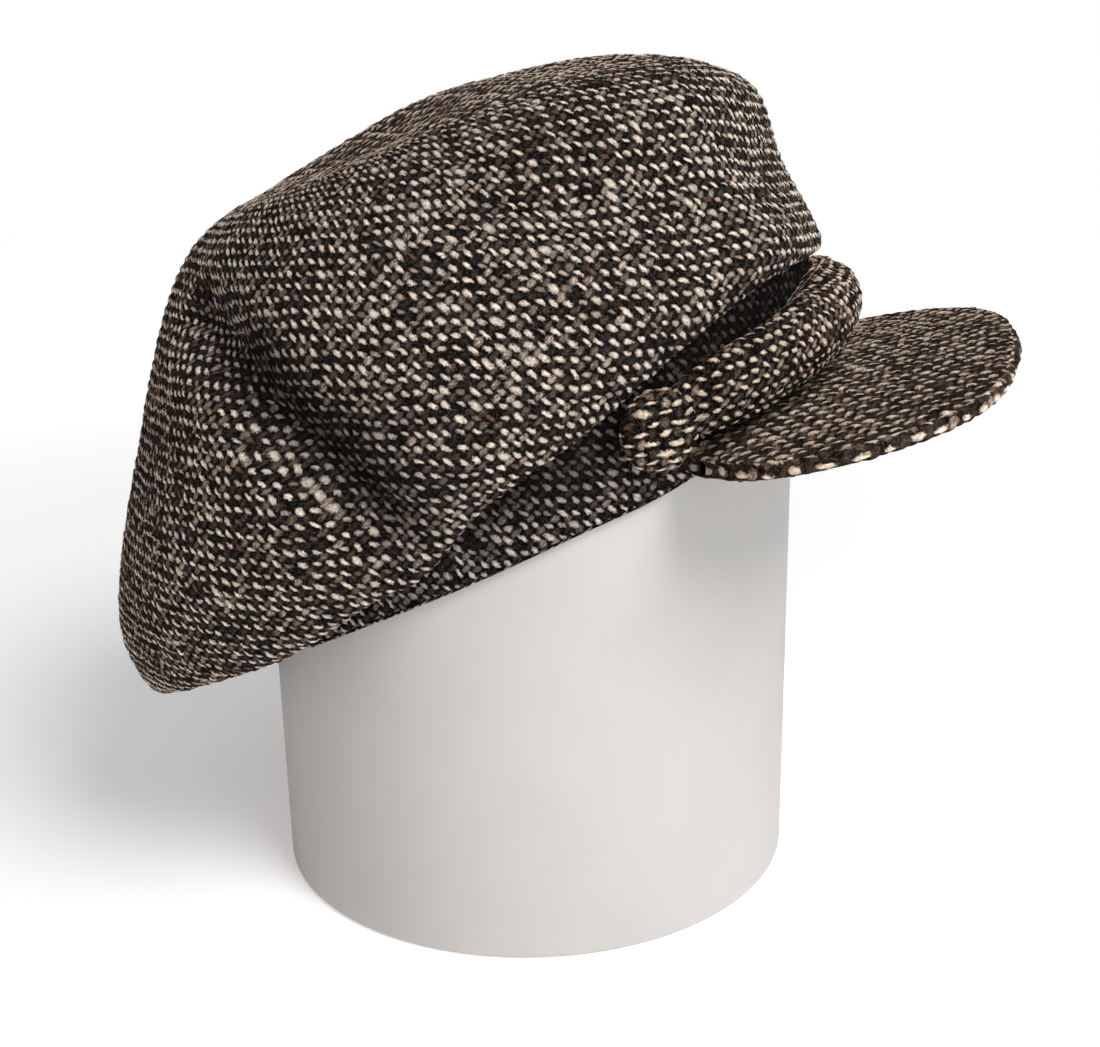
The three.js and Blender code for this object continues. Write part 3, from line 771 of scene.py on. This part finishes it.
# Section of the strap in each direction: length round it, reach, height and shade
def strap_section(directions, back):
    reach = table_value(STRAP_ROWS, STRAP_REACH, directions) - back
    tall = table_value(STRAP_ROWS, STRAP_TALL, directions)
    to_end = np.radians(np.minimum(directions - directions[0], directions[-1] - directions)) * back
    to_end = np.minimum(to_end / (tall / 2), 1)
    narrow = np.maximum(np.sqrt(1 - (1 - to_end) ** 2), STRAP_END_SHARE)
    knots = np.array(STRAP_SECTION_ROWS, float)
    scaled = np.stack([knots[None, :, 0] * reach[:, None],
                       knots[None, :, 1] * (tall / 2 * narrow)[:, None]], axis=-1)
    curves = smooth_curves(scaled, STRAP_PER_SPAN)
    lengths = lengths_along(curves)
    wanted = np.linspace(0, 1, STRAP_AROUND)[None, :] * lengths[:, -1:]
    out = at_lengths(wanted, lengths, curves[..., 0])
    up = at_lengths(wanted, lengths, curves[..., 1])
    full = smooth_step(directions, *STRAP_FLAT_DIRECTIONS)[:, None]
    share = out / reach[:, None]
    at_back = STRAP_FLAT_TOP * full * (1 - smooth_step(share, 0, STRAP_FLAT_SHARE))
    up = up + at_back * smooth_step(up, 0, STRAP_FLAT_HEIGHT)
    # Painted shade behind the roll's top, none where the top lies flat against the crown
    shade = STRAP_SHADE_STRENGTH * (1 - smooth_step(share, *STRAP_SHADE_SHARES))
    shade = shade * smooth_step(up, *STRAP_SHADE_HEIGHTS) * (1 - full)
    return wanted, out, up, shade


def front_strap():
    directions = np.linspace(STRAP_ROWS[0][0], STRAP_ROWS[-1][0], STRAP_COLUMNS)
    height = table_value(STRAP_ROWS, STRAP_HEIGHT, directions)[:, None]
    back = BAND_OUTER_RADIUS + CLEARANCE
    wanted, out, up, shade = strap_section(directions, back)
    angle = np.radians(directions)[:, None]
    points = round_axis(back + out, angle, height + up).reshape(-1, 3)
    middle = at_lengths(np.zeros(STRAP_COLUMNS), up, wanted)
    weave = bias_cut(angle * STRAP_UNROLLED_RADIUS + 0 * wanted, wanted - middle[:, None])
    weave = loosened(weave.reshape(-1, 2), seed=71)
    numbers = np.arange(up.size).reshape(up.shape)
    strips = [ring_quads(numbers[c - 1], numbers[c]) for c in range(1, STRAP_COLUMNS)]
    quads = np.concatenate(strips)[:, ::-1]
    points, weave, quads = with_lid(points, weave, quads, numbers[0], False)
    points, weave, quads = with_lid(points, weave, quads, numbers[-1], True)
    raised, normals = woven(points, quads, weave, seed=8)
    # Painted shade of the strap; the two lid centres get none
    painted_shade = np.concatenate([shade.reshape(-1), [0, 0]])
    # The strap's tweed is lighter and warmer: partly painted light
    material = tweed("strap_tweed", 6, WARM, lightness_and_painted_light=0.22)
    piece = make_object("front_strap_roll", raised, quads, material, weave, normals, painted_shade)
    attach(piece, "root")
    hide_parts("front_strap")


# Points along the peak's outline, evenly spaced
def peak_edge():
    right = [(front, -across) for across, front in reversed(PEAK_OUTLINE_ROWS)]
    left = [(front, across) for across, front in PEAK_OUTLINE_ROWS[1:]]
    turn = math.radians(PEAK_TURN)
    knots = np.array(right + left, float) - (BAND_OUTER_RADIUS, 0)
    turned = np.stack([knots[:, 0] * math.cos(turn) - knots[:, 1] * math.sin(turn),
                       knots[:, 0] * math.sin(turn) + knots[:, 1] * math.cos(turn)], axis=1)
    curve = smooth_curves((turned + (BAND_OUTER_RADIUS, 0))[None], PEAK_PER_SPAN)[0]
    return even_points(curve, PEAK_SECTIONS + 1)[1]


def peak_height(x, y, share):
    side = np.minimum(np.abs(y) / PEAK_HALF_WIDTH, 1)
    arch = PEAK_ARCH * (1 - side * side) * (1 - share)
    return PEAK_HEIGHT + PEAK_RISE_FORWARD * x + PEAK_RISE_LEFT * y + arch


def peak():
    edge = peak_edge()
    count = len(edge)
    direction = np.radians(PEAK_ROOT_DIRECTION * (2 * np.arange(count) / (count - 1) - 1))
    radius = BAND_OUTER_RADIUS + CLEARANCE
    root = np.stack([radius * np.cos(direction), radius * np.sin(direction)], axis=1)
    length = np.linalg.norm(edge - root, axis=1)
    toward = (edge - root) / length[:, None]
    half = PEAK_THICKNESS / 2
    plate = length - half
    rows, turns = PEAK_ROWS, PEAK_RIM_POINTS
    flat = np.linspace(0, 1, rows)
    turn = np.radians(np.linspace(0, 180, turns))
    out_top = plate[:, None] * flat
    out_edge = plate[:, None] + half * np.sin(turn)[None]
    out_low = plate[:, None] * flat[::-1]
    out = np.concatenate([out_top, out_edge, out_low], axis=1)
    rim_drop = half * (1 - np.cos(turn))
    drop = np.concatenate([np.zeros(rows), rim_drop, np.full(rows, PEAK_THICKNESS)])
    x = root[:, :1] + toward[:, :1] * out
    y = root[:, 1:] + toward[:, 1:] * out
    z = peak_height(x, y, out / length[:, None]) - drop
    points = np.stack([x, y, z], axis=-1)
    # The cloth lies flat on both faces, and its rim strip follows the edge
    weave = np.stack([x / PEAK_YARN[0], y / PEAK_YARN[1]], axis=-1)
    along_edge = lengths_along(edge[None])[0] / RIM_YARN
    weave[:, rows:rows + turns, 0] = along_edge[:, None]
    weave[:, rows:rows + turns, 1] = half * (turn - math.pi / 2) / RIM_YARN
    around = points.shape[1]
    numbers = np.arange(count * around).reshape(count, around)
    parts = (slice(0, rows), slice(rows, rows + turns), slice(rows + turns, around))
    sides = [ring_quads(numbers[c, part], numbers[c + 1, part], False)
             for c in range(count - 1) for part in parts]
    # The two ends get points of their own, so that the weave runs level along them
    end_points, end_weave, caps = [], [], []
    for column, order in ((0, -1), (-1, 1)):
        for line, side in ((slice(0, rows), 1), (slice(None, -rows - 1, -1), -1)):
            level = side * PEAK_END_LEVEL
            end_points.append(points[column, line])
            end_weave.append(np.stack([out[column, line] / RIM_YARN, np.full(rows, level)], axis=1))
        upper = count * around + 2 * rows * len(caps) + np.arange(rows)
        lower = upper + rows
        caps.append(np.stack([upper[:-1], upper[1:], lower[1:], lower[:-1]], axis=1)[:, ::order])
    end_points = np.concatenate(end_points)
    quads = np.concatenate([*sides, *caps])
    points = np.concatenate([points.reshape(-1, 3), end_points])
    weave = loosened(np.concatenate([weave.reshape(-1, 2), *end_weave]), seed=91)
    share = np.ones((count, around))
    share[:, [rows - 1, rows, rows + turns - 1, rows + turns]] = 0
    share[[0, -1]] = 0
    share = np.concatenate([share.reshape(-1), np.zeros(len(end_points))])
    raised, normals = woven(points, quads, weave, seed=10, share=share)
    # Painted shade at the peak's root by the band and on its two ends
    root_shade = PEAK_SHADE_STRENGTH * (1 - smooth_step(out, *PEAK_SHADE))
    painted_shade = np.concatenate([root_shade.reshape(-1), np.full(len(end_points), PEAK_END_SHADE)])
    # The peak's tweed is lighter and browner: partly painted light on the upward face
    material = tweed("peak_tweed", 5, TAN, lightness_and_painted_light=0.3, dull=0.12)
    piece = make_object("peak_board", raised, quads, material, weave, normals, painted_shade)
    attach(piece, "root")
    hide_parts("peak")


def button(name, direction, height, seed):
    profile = np.array(BUTTON_PROFILE) * (BUTTON_RADIUS, BUTTON_DEPTH)
    lengths, places = even_points(smooth_curves(profile[None], BUTTON_PER_SPAN)[0], BUTTON_RINGS)
    radius, out = places.T
    turn = np.arange(BUTTON_COLUMNS) * 2 * math.pi / BUTTON_COLUMNS
    across = radius[:, None] * np.cos(turn)
    up = radius[:, None] * np.sin(turn)
    angle = math.radians(direction)
    outward = np.array([math.cos(angle), math.sin(angle), 0])
    sideways = np.array([-math.sin(angle), math.cos(angle), 0])
    base_radius = table_value(STRAP_ROWS, STRAP_REACH, direction) + CLEARANCE
    base = outward * base_radius + (0, 0, height)
    points = (base + across[..., None] * sideways + up[..., None] * np.array([0, 0, 1])
              + out[:, None, None] * outward).reshape(-1, 3)
    spread = (lengths[-1] - lengths)[:, None]
    weave = np.stack([spread * np.cos(turn) / BUTTON_YARN[0],
                      spread * np.sin(turn) / BUTTON_YARN[1]], axis=-1).reshape(-1, 2)
    numbers = np.arange(up.size).reshape(up.shape)
    strips = [ring_quads(numbers[k - 1], numbers[k]) for k in range(1, BUTTON_RINGS)]
    quads = np.concatenate(strips)
    points, weave, quads = with_lid(points, weave, quads, numbers[0], True)
    points, weave, quads = with_lid(points, weave, quads, numbers[-1], False)
    weave = loosened(weave, seed)
    raised, normals = woven(points, quads, weave, seed)
    # The button's tweed is lighter and warmer: partly painted light
    material = tweed(name + "_tweed", seed, WARM, lightness_and_painted_light=0.2, thin=0.05)
    piece = make_object(name + "_cover", raised, quads, material, weave, normals)
    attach(piece, "root")
    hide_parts(name)


def stand():
    edge = STAND_EDGE_RADIUS
    turn = np.radians(np.linspace(0, 90, EDGE_POINTS))
    low = [(STAND_RADIUS - edge + edge * math.sin(t), edge - edge * math.cos(t)) for t in turn]
    high = [(radius, STAND_HEIGHT - height) for radius, height in reversed(low)]
    levels = np.linspace(edge, STAND_HEIGHT - edge, STAND_LEVELS)[1:-1]
    radii = np.linspace(STAND_INNER_RING, STAND_RADIUS - edge, STAND_FLAT_RINGS)[:-1]
    between = [(STAND_RADIUS, height) for height in levels]
    foot = [(radius, 0) for radius in radii]
    lid = [(radius, STAND_HEIGHT) for radius in radii[::-1]]
    profile = np.array(foot + low + between + high + lid)
    angle = np.arange(STAND_SIDES) * 2 * math.pi / STAND_SIDES
    points = round_axis(profile[:, :1], angle, profile[:, 1:]).reshape(-1, 3)
    count = len(points)
    numbers = np.arange(count).reshape(-1, STAND_SIDES)
    quads = [ring_quads(lower, upper) for lower, upper in zip(numbers, numbers[1:])]
    quads += [lid_quads(numbers[0], count, True), lid_quads(numbers[-1], count + 1)]
    points = np.concatenate([points, [(0, 0, 0), (0, 0, STAND_HEIGHT)]])
    piece = make_object("stand_block", points, np.concatenate(quads), matte_coat())
    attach(piece, "root")
    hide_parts("stand")


# A socket of a node tree that can be added, multiplied and so on
class Value:
    def __init__(self, tree, socket):
        self.tree = tree
        self.socket = socket

    def math(self, operation, *others):
        inputs = dict(enumerate((self, *others)))
        node = new_node(self.tree, "Math", inputs, operation=operation)
        return Value(self.tree, node.outputs[0])

    def __add__(self, other):
        return self.math("ADD", other)

    def __sub__(self, other):
        return self.math("SUBTRACT", other)

    def __mul__(self, other):
        return self.math("MULTIPLY", other)

    def __neg__(self):
        return self.math("MULTIPLY", -1.0)

    def over(self, other):
        return self.math("DIVIDE", other)

    def above(self, other):
        return self.math("MAXIMUM", other)

    def nearest(self):
        return (self + 0.5).math("FLOOR")

    def root(self):
        return self.above(0.001).math("SQRT")

    # From 0 at low to 1 at high, smoothly
    def between(self, low, high):
        inputs = {"Value": self, "From Min": low, "From Max": high}
        smooth = {"interpolation_type": "SMOOTHSTEP"}
        node = new_node(self.tree, "MapRange", inputs, **smooth)
        return Value(self.tree, node.outputs["Result"])


# Inputs by place or name: each is a number, a colour with its alpha, a socket or a Value
def set_inputs(tree, node, inputs):
    for place, value in inputs.items():
        if isinstance(value, Value):
            value = value.socket
        if isinstance(value, bpy.types.NodeSocket):
            tree.links.new(value, node.inputs[place])
        else:
            node.inputs[place].default_value = value


def new_node(tree, kind, inputs=None, **settings):
    node = tree.nodes.new("ShaderNode" + kind)
    for name, value in settings.items():
        setattr(node, name, value)
    set_inputs(tree, node, inputs or {})
    return node


def joined(tree, *parts):
    return new_node(tree, "CombineXYZ", dict(enumerate(parts))).outputs[0]


def cell_random(tree, *parts):
    inputs = {"Vector": joined(tree, *parts)}
    noise = new_node(tree, "TexWhiteNoise", inputs, noise_dimensions="3D").outputs
    split = new_node(tree, "SeparateColor", {0: noise["Color"]}).outputs
    return [Value(tree, socket) for socket in (noise["Value"], *split)]


def grain(tree, vector, scale=1.0, detail=2.0, roughness=0.5):
    inputs = {"Vector": vector, "Scale": scale, "Detail": detail, "Roughness": roughness}
    return Value(tree, new_node(tree, "TexNoise", inputs).outputs["Fac"])


def ramp(value, stops):
    node = new_node(value.tree, "ValToRGB", {0: value})
    elements = node.color_ramp.elements
    while len(elements) < len(stops):
        elements.new(0.5)
    for element, (position, colour) in zip(elements, stops):
        element.position = position
        element.color = (*colour, 1)
    return node.outputs["Color"]


def mixed(tree, share, first, second, kind="MIX"):
    first, second = ((*part, 1) if isinstance(part, tuple) else part for part in (first, second))
    inputs = {0: share, 6: first, 7: second}
    return new_node(tree, "Mix", inputs, data_type="RGBA", blend_type=kind).outputs[2]


def bumped(tree, height, strength, distance):
    inputs = {"Strength": strength, "Distance": distance, "Height": height}
    return new_node(tree, "Bump", inputs).outputs[0]


def new_material(name):
    material = bpy.data.materials.new(name)
    material.use_nodes = True
    tree = material.node_tree
    return material, tree, tree.nodes["Principled BSDF"]


ECRU = (0.84, 0.735, 0.64)
PALE_GREY = (0.53, 0.445, 0.39)
GREY = (0.25, 0.2, 0.172)
BROWN = (0.10, 0.062, 0.045)
RUST = (0.16, 0.085, 0.06)
INK = (0.003, 0.0026, 0.0026)
SOOT = (0.022, 0.018, 0.016)
# WARM, BROWNISH and TAN are partly the fuzz's own brownish tone and partly painted warm light on
# pieces that face up and out; SHADED is painted shade, darker and cooler, on the band under the
# crown
WARM = (1, 0.95, 0.89)
BROWNISH = (1, 0.96, 0.92)
TAN = (1, 0.94, 0.88)
SHADED = (0.7, 0.72, 0.75)


# Colours of the light and of the dark yarn, from dark to light
YARN_COLOURS = [(0.0, SOOT), (0.07, BROWN), (0.15, GREY), (0.3, PALE_GREY), (0.52, ECRU)]
DARK_YARN_COLOURS = [
    (0.0, INK), (0.2, SOOT), (0.5, (0.05, 0.039, 0.033)), (0.8, (0.15, 0.122, 0.104)),
    (1.0, (0.36, 0.3, 0.255)),
]
# Painted highlight and shade by the place on a nub: brightest on top, sinking into the dark between
# its neighbours
NUB_PAINTED_SHADING = [
    (0.0, (1.3, 1.29, 1.27)), (0.35, (1.0, 0.99, 0.97)), (0.7, (0.5, 0.475, 0.45)),
    (1.0, (0.14, 0.125, 0.115)),
]
DARK_NUB_PAINTED_SHADING = [(0.0, (1.3, 1.3, 1.3)), (0.5, (0.8, 0.78, 0.76)), (1.0, (0.08, 0.07, 0.07))]
# Tints by the twisted fibres
FIBRE_TINTS = [(0.3, (0.3, 0.29, 0.28)), (0.64, (1.2, 1.18, 1.15))]
DARK_FIBRE_TINTS = [(0.35, (0.1, 0.1, 0.1)), (0.5, (0.7, 0.68, 0.66)), (0.7, (2.3, 2.15, 2.05))]
RUSTY_SHARES = (0.975, 0.985)
PAINTED_SHADE_STRENGTH = 0.9
COAT_COLOURS = [(0.3, (0.435, 0.42, 0.405)), (0.7, (0.485, 0.465, 0.45))]
PAPER_COLOURS = [(0.3, (0.86, 0.86, 0.86)), (0.7, (0.88, 0.88, 0.88))]
CLOTH_SURFACE = {
    "Roughness": 0.9,
    "Specular IOR Level": 0.03,
    "Sheen Weight": 0.008,
    "Sheen Roughness": 0.5,
    "Sheen Tint": (0.86, 0.74, 0.62, 1),
}
# Least half length and half width of a light and of a dark nub in the material, in yarns
LIGHT_NUB_LEAST = (0.47, 0.24)
DARK_NUB_LEAST = (0.68, 0.34)
DARK_NUB_HEIGHT = 0.42
# How ragged the nubs' outlines are
LIGHT_RAGGED = 3.2
DARK_RAGGED = 2.2


def light_colour(tree, mood, tint, far, fibres):
    yarn = ramp(mood, YARN_COLOURS)
    yarn = mixed(tree, tint.between(*RUSTY_SHARES), yarn, RUST)
    # Painted highlight on the nub's top and painted shade at its edges
    yarn = mixed(tree, 1.0, yarn, ramp(far, NUB_PAINTED_SHADING), "MULTIPLY")
    return mixed(tree, 0.8, yarn, ramp(fibres, FIBRE_TINTS), "MULTIPLY")


def dark_colour(tree, chance, far, fibres):
    yarn = ramp(chance, DARK_YARN_COLOURS)
    yarn = mixed(tree, 0.9, yarn, ramp(fibres, DARK_FIBRE_TINTS), "MULTIPLY")
    # Painted highlight on the dark nub's middle and painted shade at its edges
    return mixed(tree, 1.0, yarn, ramp(far, DARK_NUB_PAINTED_SHADING), "MULTIPLY")


# Coarse plain-woven tweed: nubs of light yarn over dark yarn, with thick and dark places. The lift
# of the mood turns more of the nubs light, partly as the yarn's own lightness and partly as painted
# light that brightens some pieces; the tint colour lays painted shade or partly painted warm light
# on a piece; dull lays grey fuzz over them, thin makes them narrower.
def tweed(name, seed, tint_colour=(1, 1, 1), lightness_and_painted_light=0.08, dull=0.0, thin=0.0):
    material, tree, shader = new_material(name)
    place = new_node(tree, "UVMap", uv_map="weave").outputs[0]
    split = new_node(tree, "SeparateXYZ", {0: place}).outputs
    a, b = Value(tree, split[0]), Value(tree, split[1])
    i, j = a.nearest(), b.nearest()
    nub = ((a + j) * 0.5).nearest() * 2.0 - j
    knot = ((b + i + 1.0) * 0.5).nearest() * 2.0 - i - 1.0
    chance, size, tint, lift = cell_random(tree, nub, j, seed * 1.7)
    dark_chance, dark_size, dark_tint, _ = cell_random(tree, i, knot, seed * 1.7 + 50)
    # Thick places of the light yarn run over a few nubs, and so do its light and dark runs
    slub = grain(tree, joined(tree, nub * 0.33, j * 7.3, seed), detail=0.0).between(0.62, 0.78)
    run = grain(tree, joined(tree, nub * 0.14, j * 5.1, seed + 31), detail=0.0).between(0.3, 0.7)
    patch = grain(tree, place, 0.075)
    ragged = grain(tree, place, 3.6, detail=4.0, roughness=0.8) - 0.5
    fluff = grain(tree, place, 7.0, detail=3.0, roughness=0.7)
    curl = grain(tree, place, 1.7, roughness=0.6)
    # Light nub: the place on it, how far that is from its middle, and its height there
    along = a - nub + (tint - 0.5) * 0.24 + ragged * 0.4
    across = b - j + (lift - 0.5) * 0.2 + along * (chance * 0.4 - 0.4) + (curl - 0.5) * 0.5
    u = along.over(size * 0.26 + slub * 0.24 + LIGHT_NUB_LEAST[0])
    v = across.over(lift * 0.14 + slub * 0.2 + LIGHT_NUB_LEAST[1] - thin)
    far = u * u + v * v + ragged * LIGHT_RAGGED
    light = (-far + 1.0).root() * (lift * 0.25 + slub * 0.35 + 0.5)
    # Dark nub, in the same way
    dark_along = b - knot
    side = a - i + (dark_tint - 0.5) * 0.2
    p = side.over(dark_size * 0.12 + DARK_NUB_LEAST[1])
    q = dark_along.over(DARK_NUB_LEAST[0])
    dark_far = p * p + q * q - ragged * DARK_RAGGED
    dark = (-dark_far + 1.0).root() * DARK_NUB_HEIGHT
    # Twisted fibres of the light yarn, fibres of the dark yarn, and loose hairs over both
    twist = joined(tree, along * 2.0 + across * 2.0, across * 9.0, nub * 3.7 + j * 1.3)
    fibres = grain(tree, twist, detail=3.0, roughness=0.75)
    threads = joined(tree, side * 9.0, dark_along * 2.5, i * 2.9 + knot)
    dark_fibres = grain(tree, threads, roughness=0.7)
    hairs = (curl - 0.5).math("ABSOLUTE").between(0.02, 0.002)
    height = light.above(dark) + fibres * 0.2 + fluff * 0.12 + hairs * 0.05
    # Colours
    mood = chance * 0.5 + run * 0.35 + slub * 0.2 + (patch - 0.5) * 0.35 + lightness_and_painted_light
    yarn = light_colour(tree, mood, tint, far, fibres)
    shadow = dark_colour(tree, dark_chance, dark_far, dark_fibres)
    # Between the nubs the ground is ink: partly the dark yarn, partly painted shade in the gaps
    ground = mixed(tree, dark_far.between(1.05, 0.3), INK, shadow)
    ground = mixed(tree, hairs * 0.3, ground, GREY)
    colour = mixed(tree, far.between(1.2, 0.6), ground, yarn)
    haze = grain(tree, place, 0.9, detail=3.0, roughness=0.7).between(0.35, 0.7) * dull
    colour = mixed(tree, haze, colour, GREY)
    colour = mixed(tree, 1.0, colour, tint_colour, "MULTIPLY")
    # Painted shade: the colour sinks towards ink where the painted shade attribute is high
    painted_shade = new_node(tree, "Attribute", attribute_name="painted_shade").outputs["Fac"]
    colour = mixed(tree, Value(tree, painted_shade) * PAINTED_SHADE_STRENGTH, colour, INK)
    normal = bumped(tree, height, strength=1.0, distance=0.0009)
    set_inputs(tree, shader, {"Base Color": colour, "Normal": normal, **CLOTH_SURFACE})
    return material


# Smooth matte white coat, faintly uneven
def matte_coat():
    material, tree, shader = new_material("stand_coat")
    place = new_node(tree, "TexCoord").outputs["Object"]
    cloud = grain(tree, place, 14.0, detail=3.0)
    fine = grain(tree, place, 900.0)
    set_inputs(tree, shader, {
        "Base Color": ramp(cloud, COAT_COLOURS),
        "Roughness": cloud * 0.16 + 0.46,
        "Normal": bumped(tree, fine, strength=0.12, distance=0.0002),
    })
    return material


FLOOR_REACH = 6.0
# Glow of the floor near the stand, how much more it gets far away, and from where to where
FLOOR_GLOW = 0.36
FLOOR_FAR_GLOW = 0.46
FLOOR_GLOW_REACH = (0.1, 1.6)


# White floor that glows a little, more so far away, so that it melts into the white backdrop
def pale_floor():
    material, tree, shader = new_material("floor_paper")
    place = new_node(tree, "TexCoord").outputs["Object"]
    length = new_node(tree, "VectorMath", {0: place}, operation="LENGTH")
    far = Value(tree, length.outputs["Value"]).between(*FLOOR_GLOW_REACH)
    set_inputs(tree, shader, {
        "Base Color": ramp(grain(tree, place, 3.0), PAPER_COLOURS),
        "Roughness": 0.9,
        "Emission Color": (1, 1, 1, 1),
        "Emission Strength": far * FLOOR_FAR_GLOW + FLOOR_GLOW,
    })
    return material


def floor():
    mesh = bpy.data.meshes.new("floor")
    reach = FLOOR_REACH
    corners = [(-reach, -reach, 0), (reach, -reach, 0), (reach, reach, 0), (-reach, reach, 0)]
    mesh.from_pydata(corners, [], [(0, 1, 2, 3)])
    mesh.materials.append(pale_floor())
    obj = placed("floor", mesh)


# Lights: name, place, target, size, power, colour, in metres and watts
LIGHT_ROWS = [
    ("key", (1.05, -0.6, 1.3), (0, 0, 0.16), 0.8, 25.5, (1, 0.98, 0.965)),
    ("front", (1.3, -1.4, 0.35), (0, 0, 0.15), 1.2, 12, (0.94, 0.97, 1)),
    ("warm", (-1.5, -0.9, 0.5), (0, 0, 0.1), 0.8, 2, (1, 0.55, 0.3)),
]
# Light from around: colour from behind the cap and from before it
WORLD_COLOURS = [(0.0, (0.05, 0.04, 0.035)), (1.0, (0.34, 0.36, 0.38))]


def area_light(name, place, target, size, power, colour):
    data = bpy.data.lights.new(name, "AREA")
    data.shape = "DISK"
    data.size = size
    data.energy = power
    data.color = colour
    obj = placed(name, data)
    obj.location = place
    toward = Vector(target) - Vector(place)
    obj.rotation_euler = toward.to_track_quat("-Z", "Y").to_euler()


# A white backdrop that gives less light than it shows
def world():
    made = bpy.data.worlds.new("studio")
    made.use_nodes = True
    tree = made.node_tree
    background = tree.nodes["Background"]
    place = new_node(tree, "TexCoord").outputs["Generated"]
    split = new_node(tree, "SeparateXYZ", {0: place}).outputs
    side = Value(tree, split[0]).between(-1.0, 1.0)
    set_inputs(tree, background, {"Color": ramp(side, WORLD_COLOURS)})
    white = {"Color": (1, 1, 1, 1), "Strength": 1.0}
    backdrop = new_node(tree, "Background", white).outputs[0]
    seen = new_node(tree, "LightPath").outputs["Is Camera Ray"]
    inputs = {0: seen, 1: background.outputs[0], 2: backdrop}
    mix = new_node(tree, "MixShader", inputs).outputs[0]
    set_inputs(tree, tree.nodes["World Output"], {"Surface": mix})
    bpy.context.scene.world = made
    bpy.context.scene.view_settings.view_transform = "Standard"
    bpy.context.scene.view_settings.look = "None"


# Camera fitted to the photograph: 22.3 degrees round to the front, 14.9 degrees down
CAMERA_PLACE = (0.1586, -0.3867, 0.2228)
CAMERA_DIRECTION = 22.3
CAMERA_SIDE_TURN = 0.97
CAMERA_DOWN = 14.9
CAMERA_ROLL = 1.09
CAMERA_LENS = 41.2
CAMERA_SENSOR = 36
CAMERA_SEES = (0.01, 50)


def camera():
    data = bpy.data.cameras.new("camera")
    data.lens = CAMERA_LENS
    data.sensor_width = CAMERA_SENSOR
    data.clip_start, data.clip_end = CAMERA_SEES
    obj = placed("camera", data)
    level = Matrix.Rotation(math.radians(CAMERA_DIRECTION - CAMERA_SIDE_TURN), 4, "Z")
    tilt = Matrix.Rotation(math.radians(90 - CAMERA_DOWN), 4, "X")
    roll = Matrix.Rotation(math.radians(-CAMERA_ROLL), 4, "Z")
    obj.matrix_world = Matrix.Translation(CAMERA_PLACE) @ level @ tilt @ roll
    bpy.context.scene.camera = obj


camera()
world()
floor()
for row in LIGHT_ROWS:
    area_light(*row)
stand()
headband()
crown()
front_strap()
peak()
for row in BUTTON_ROWS:
    button(*row)
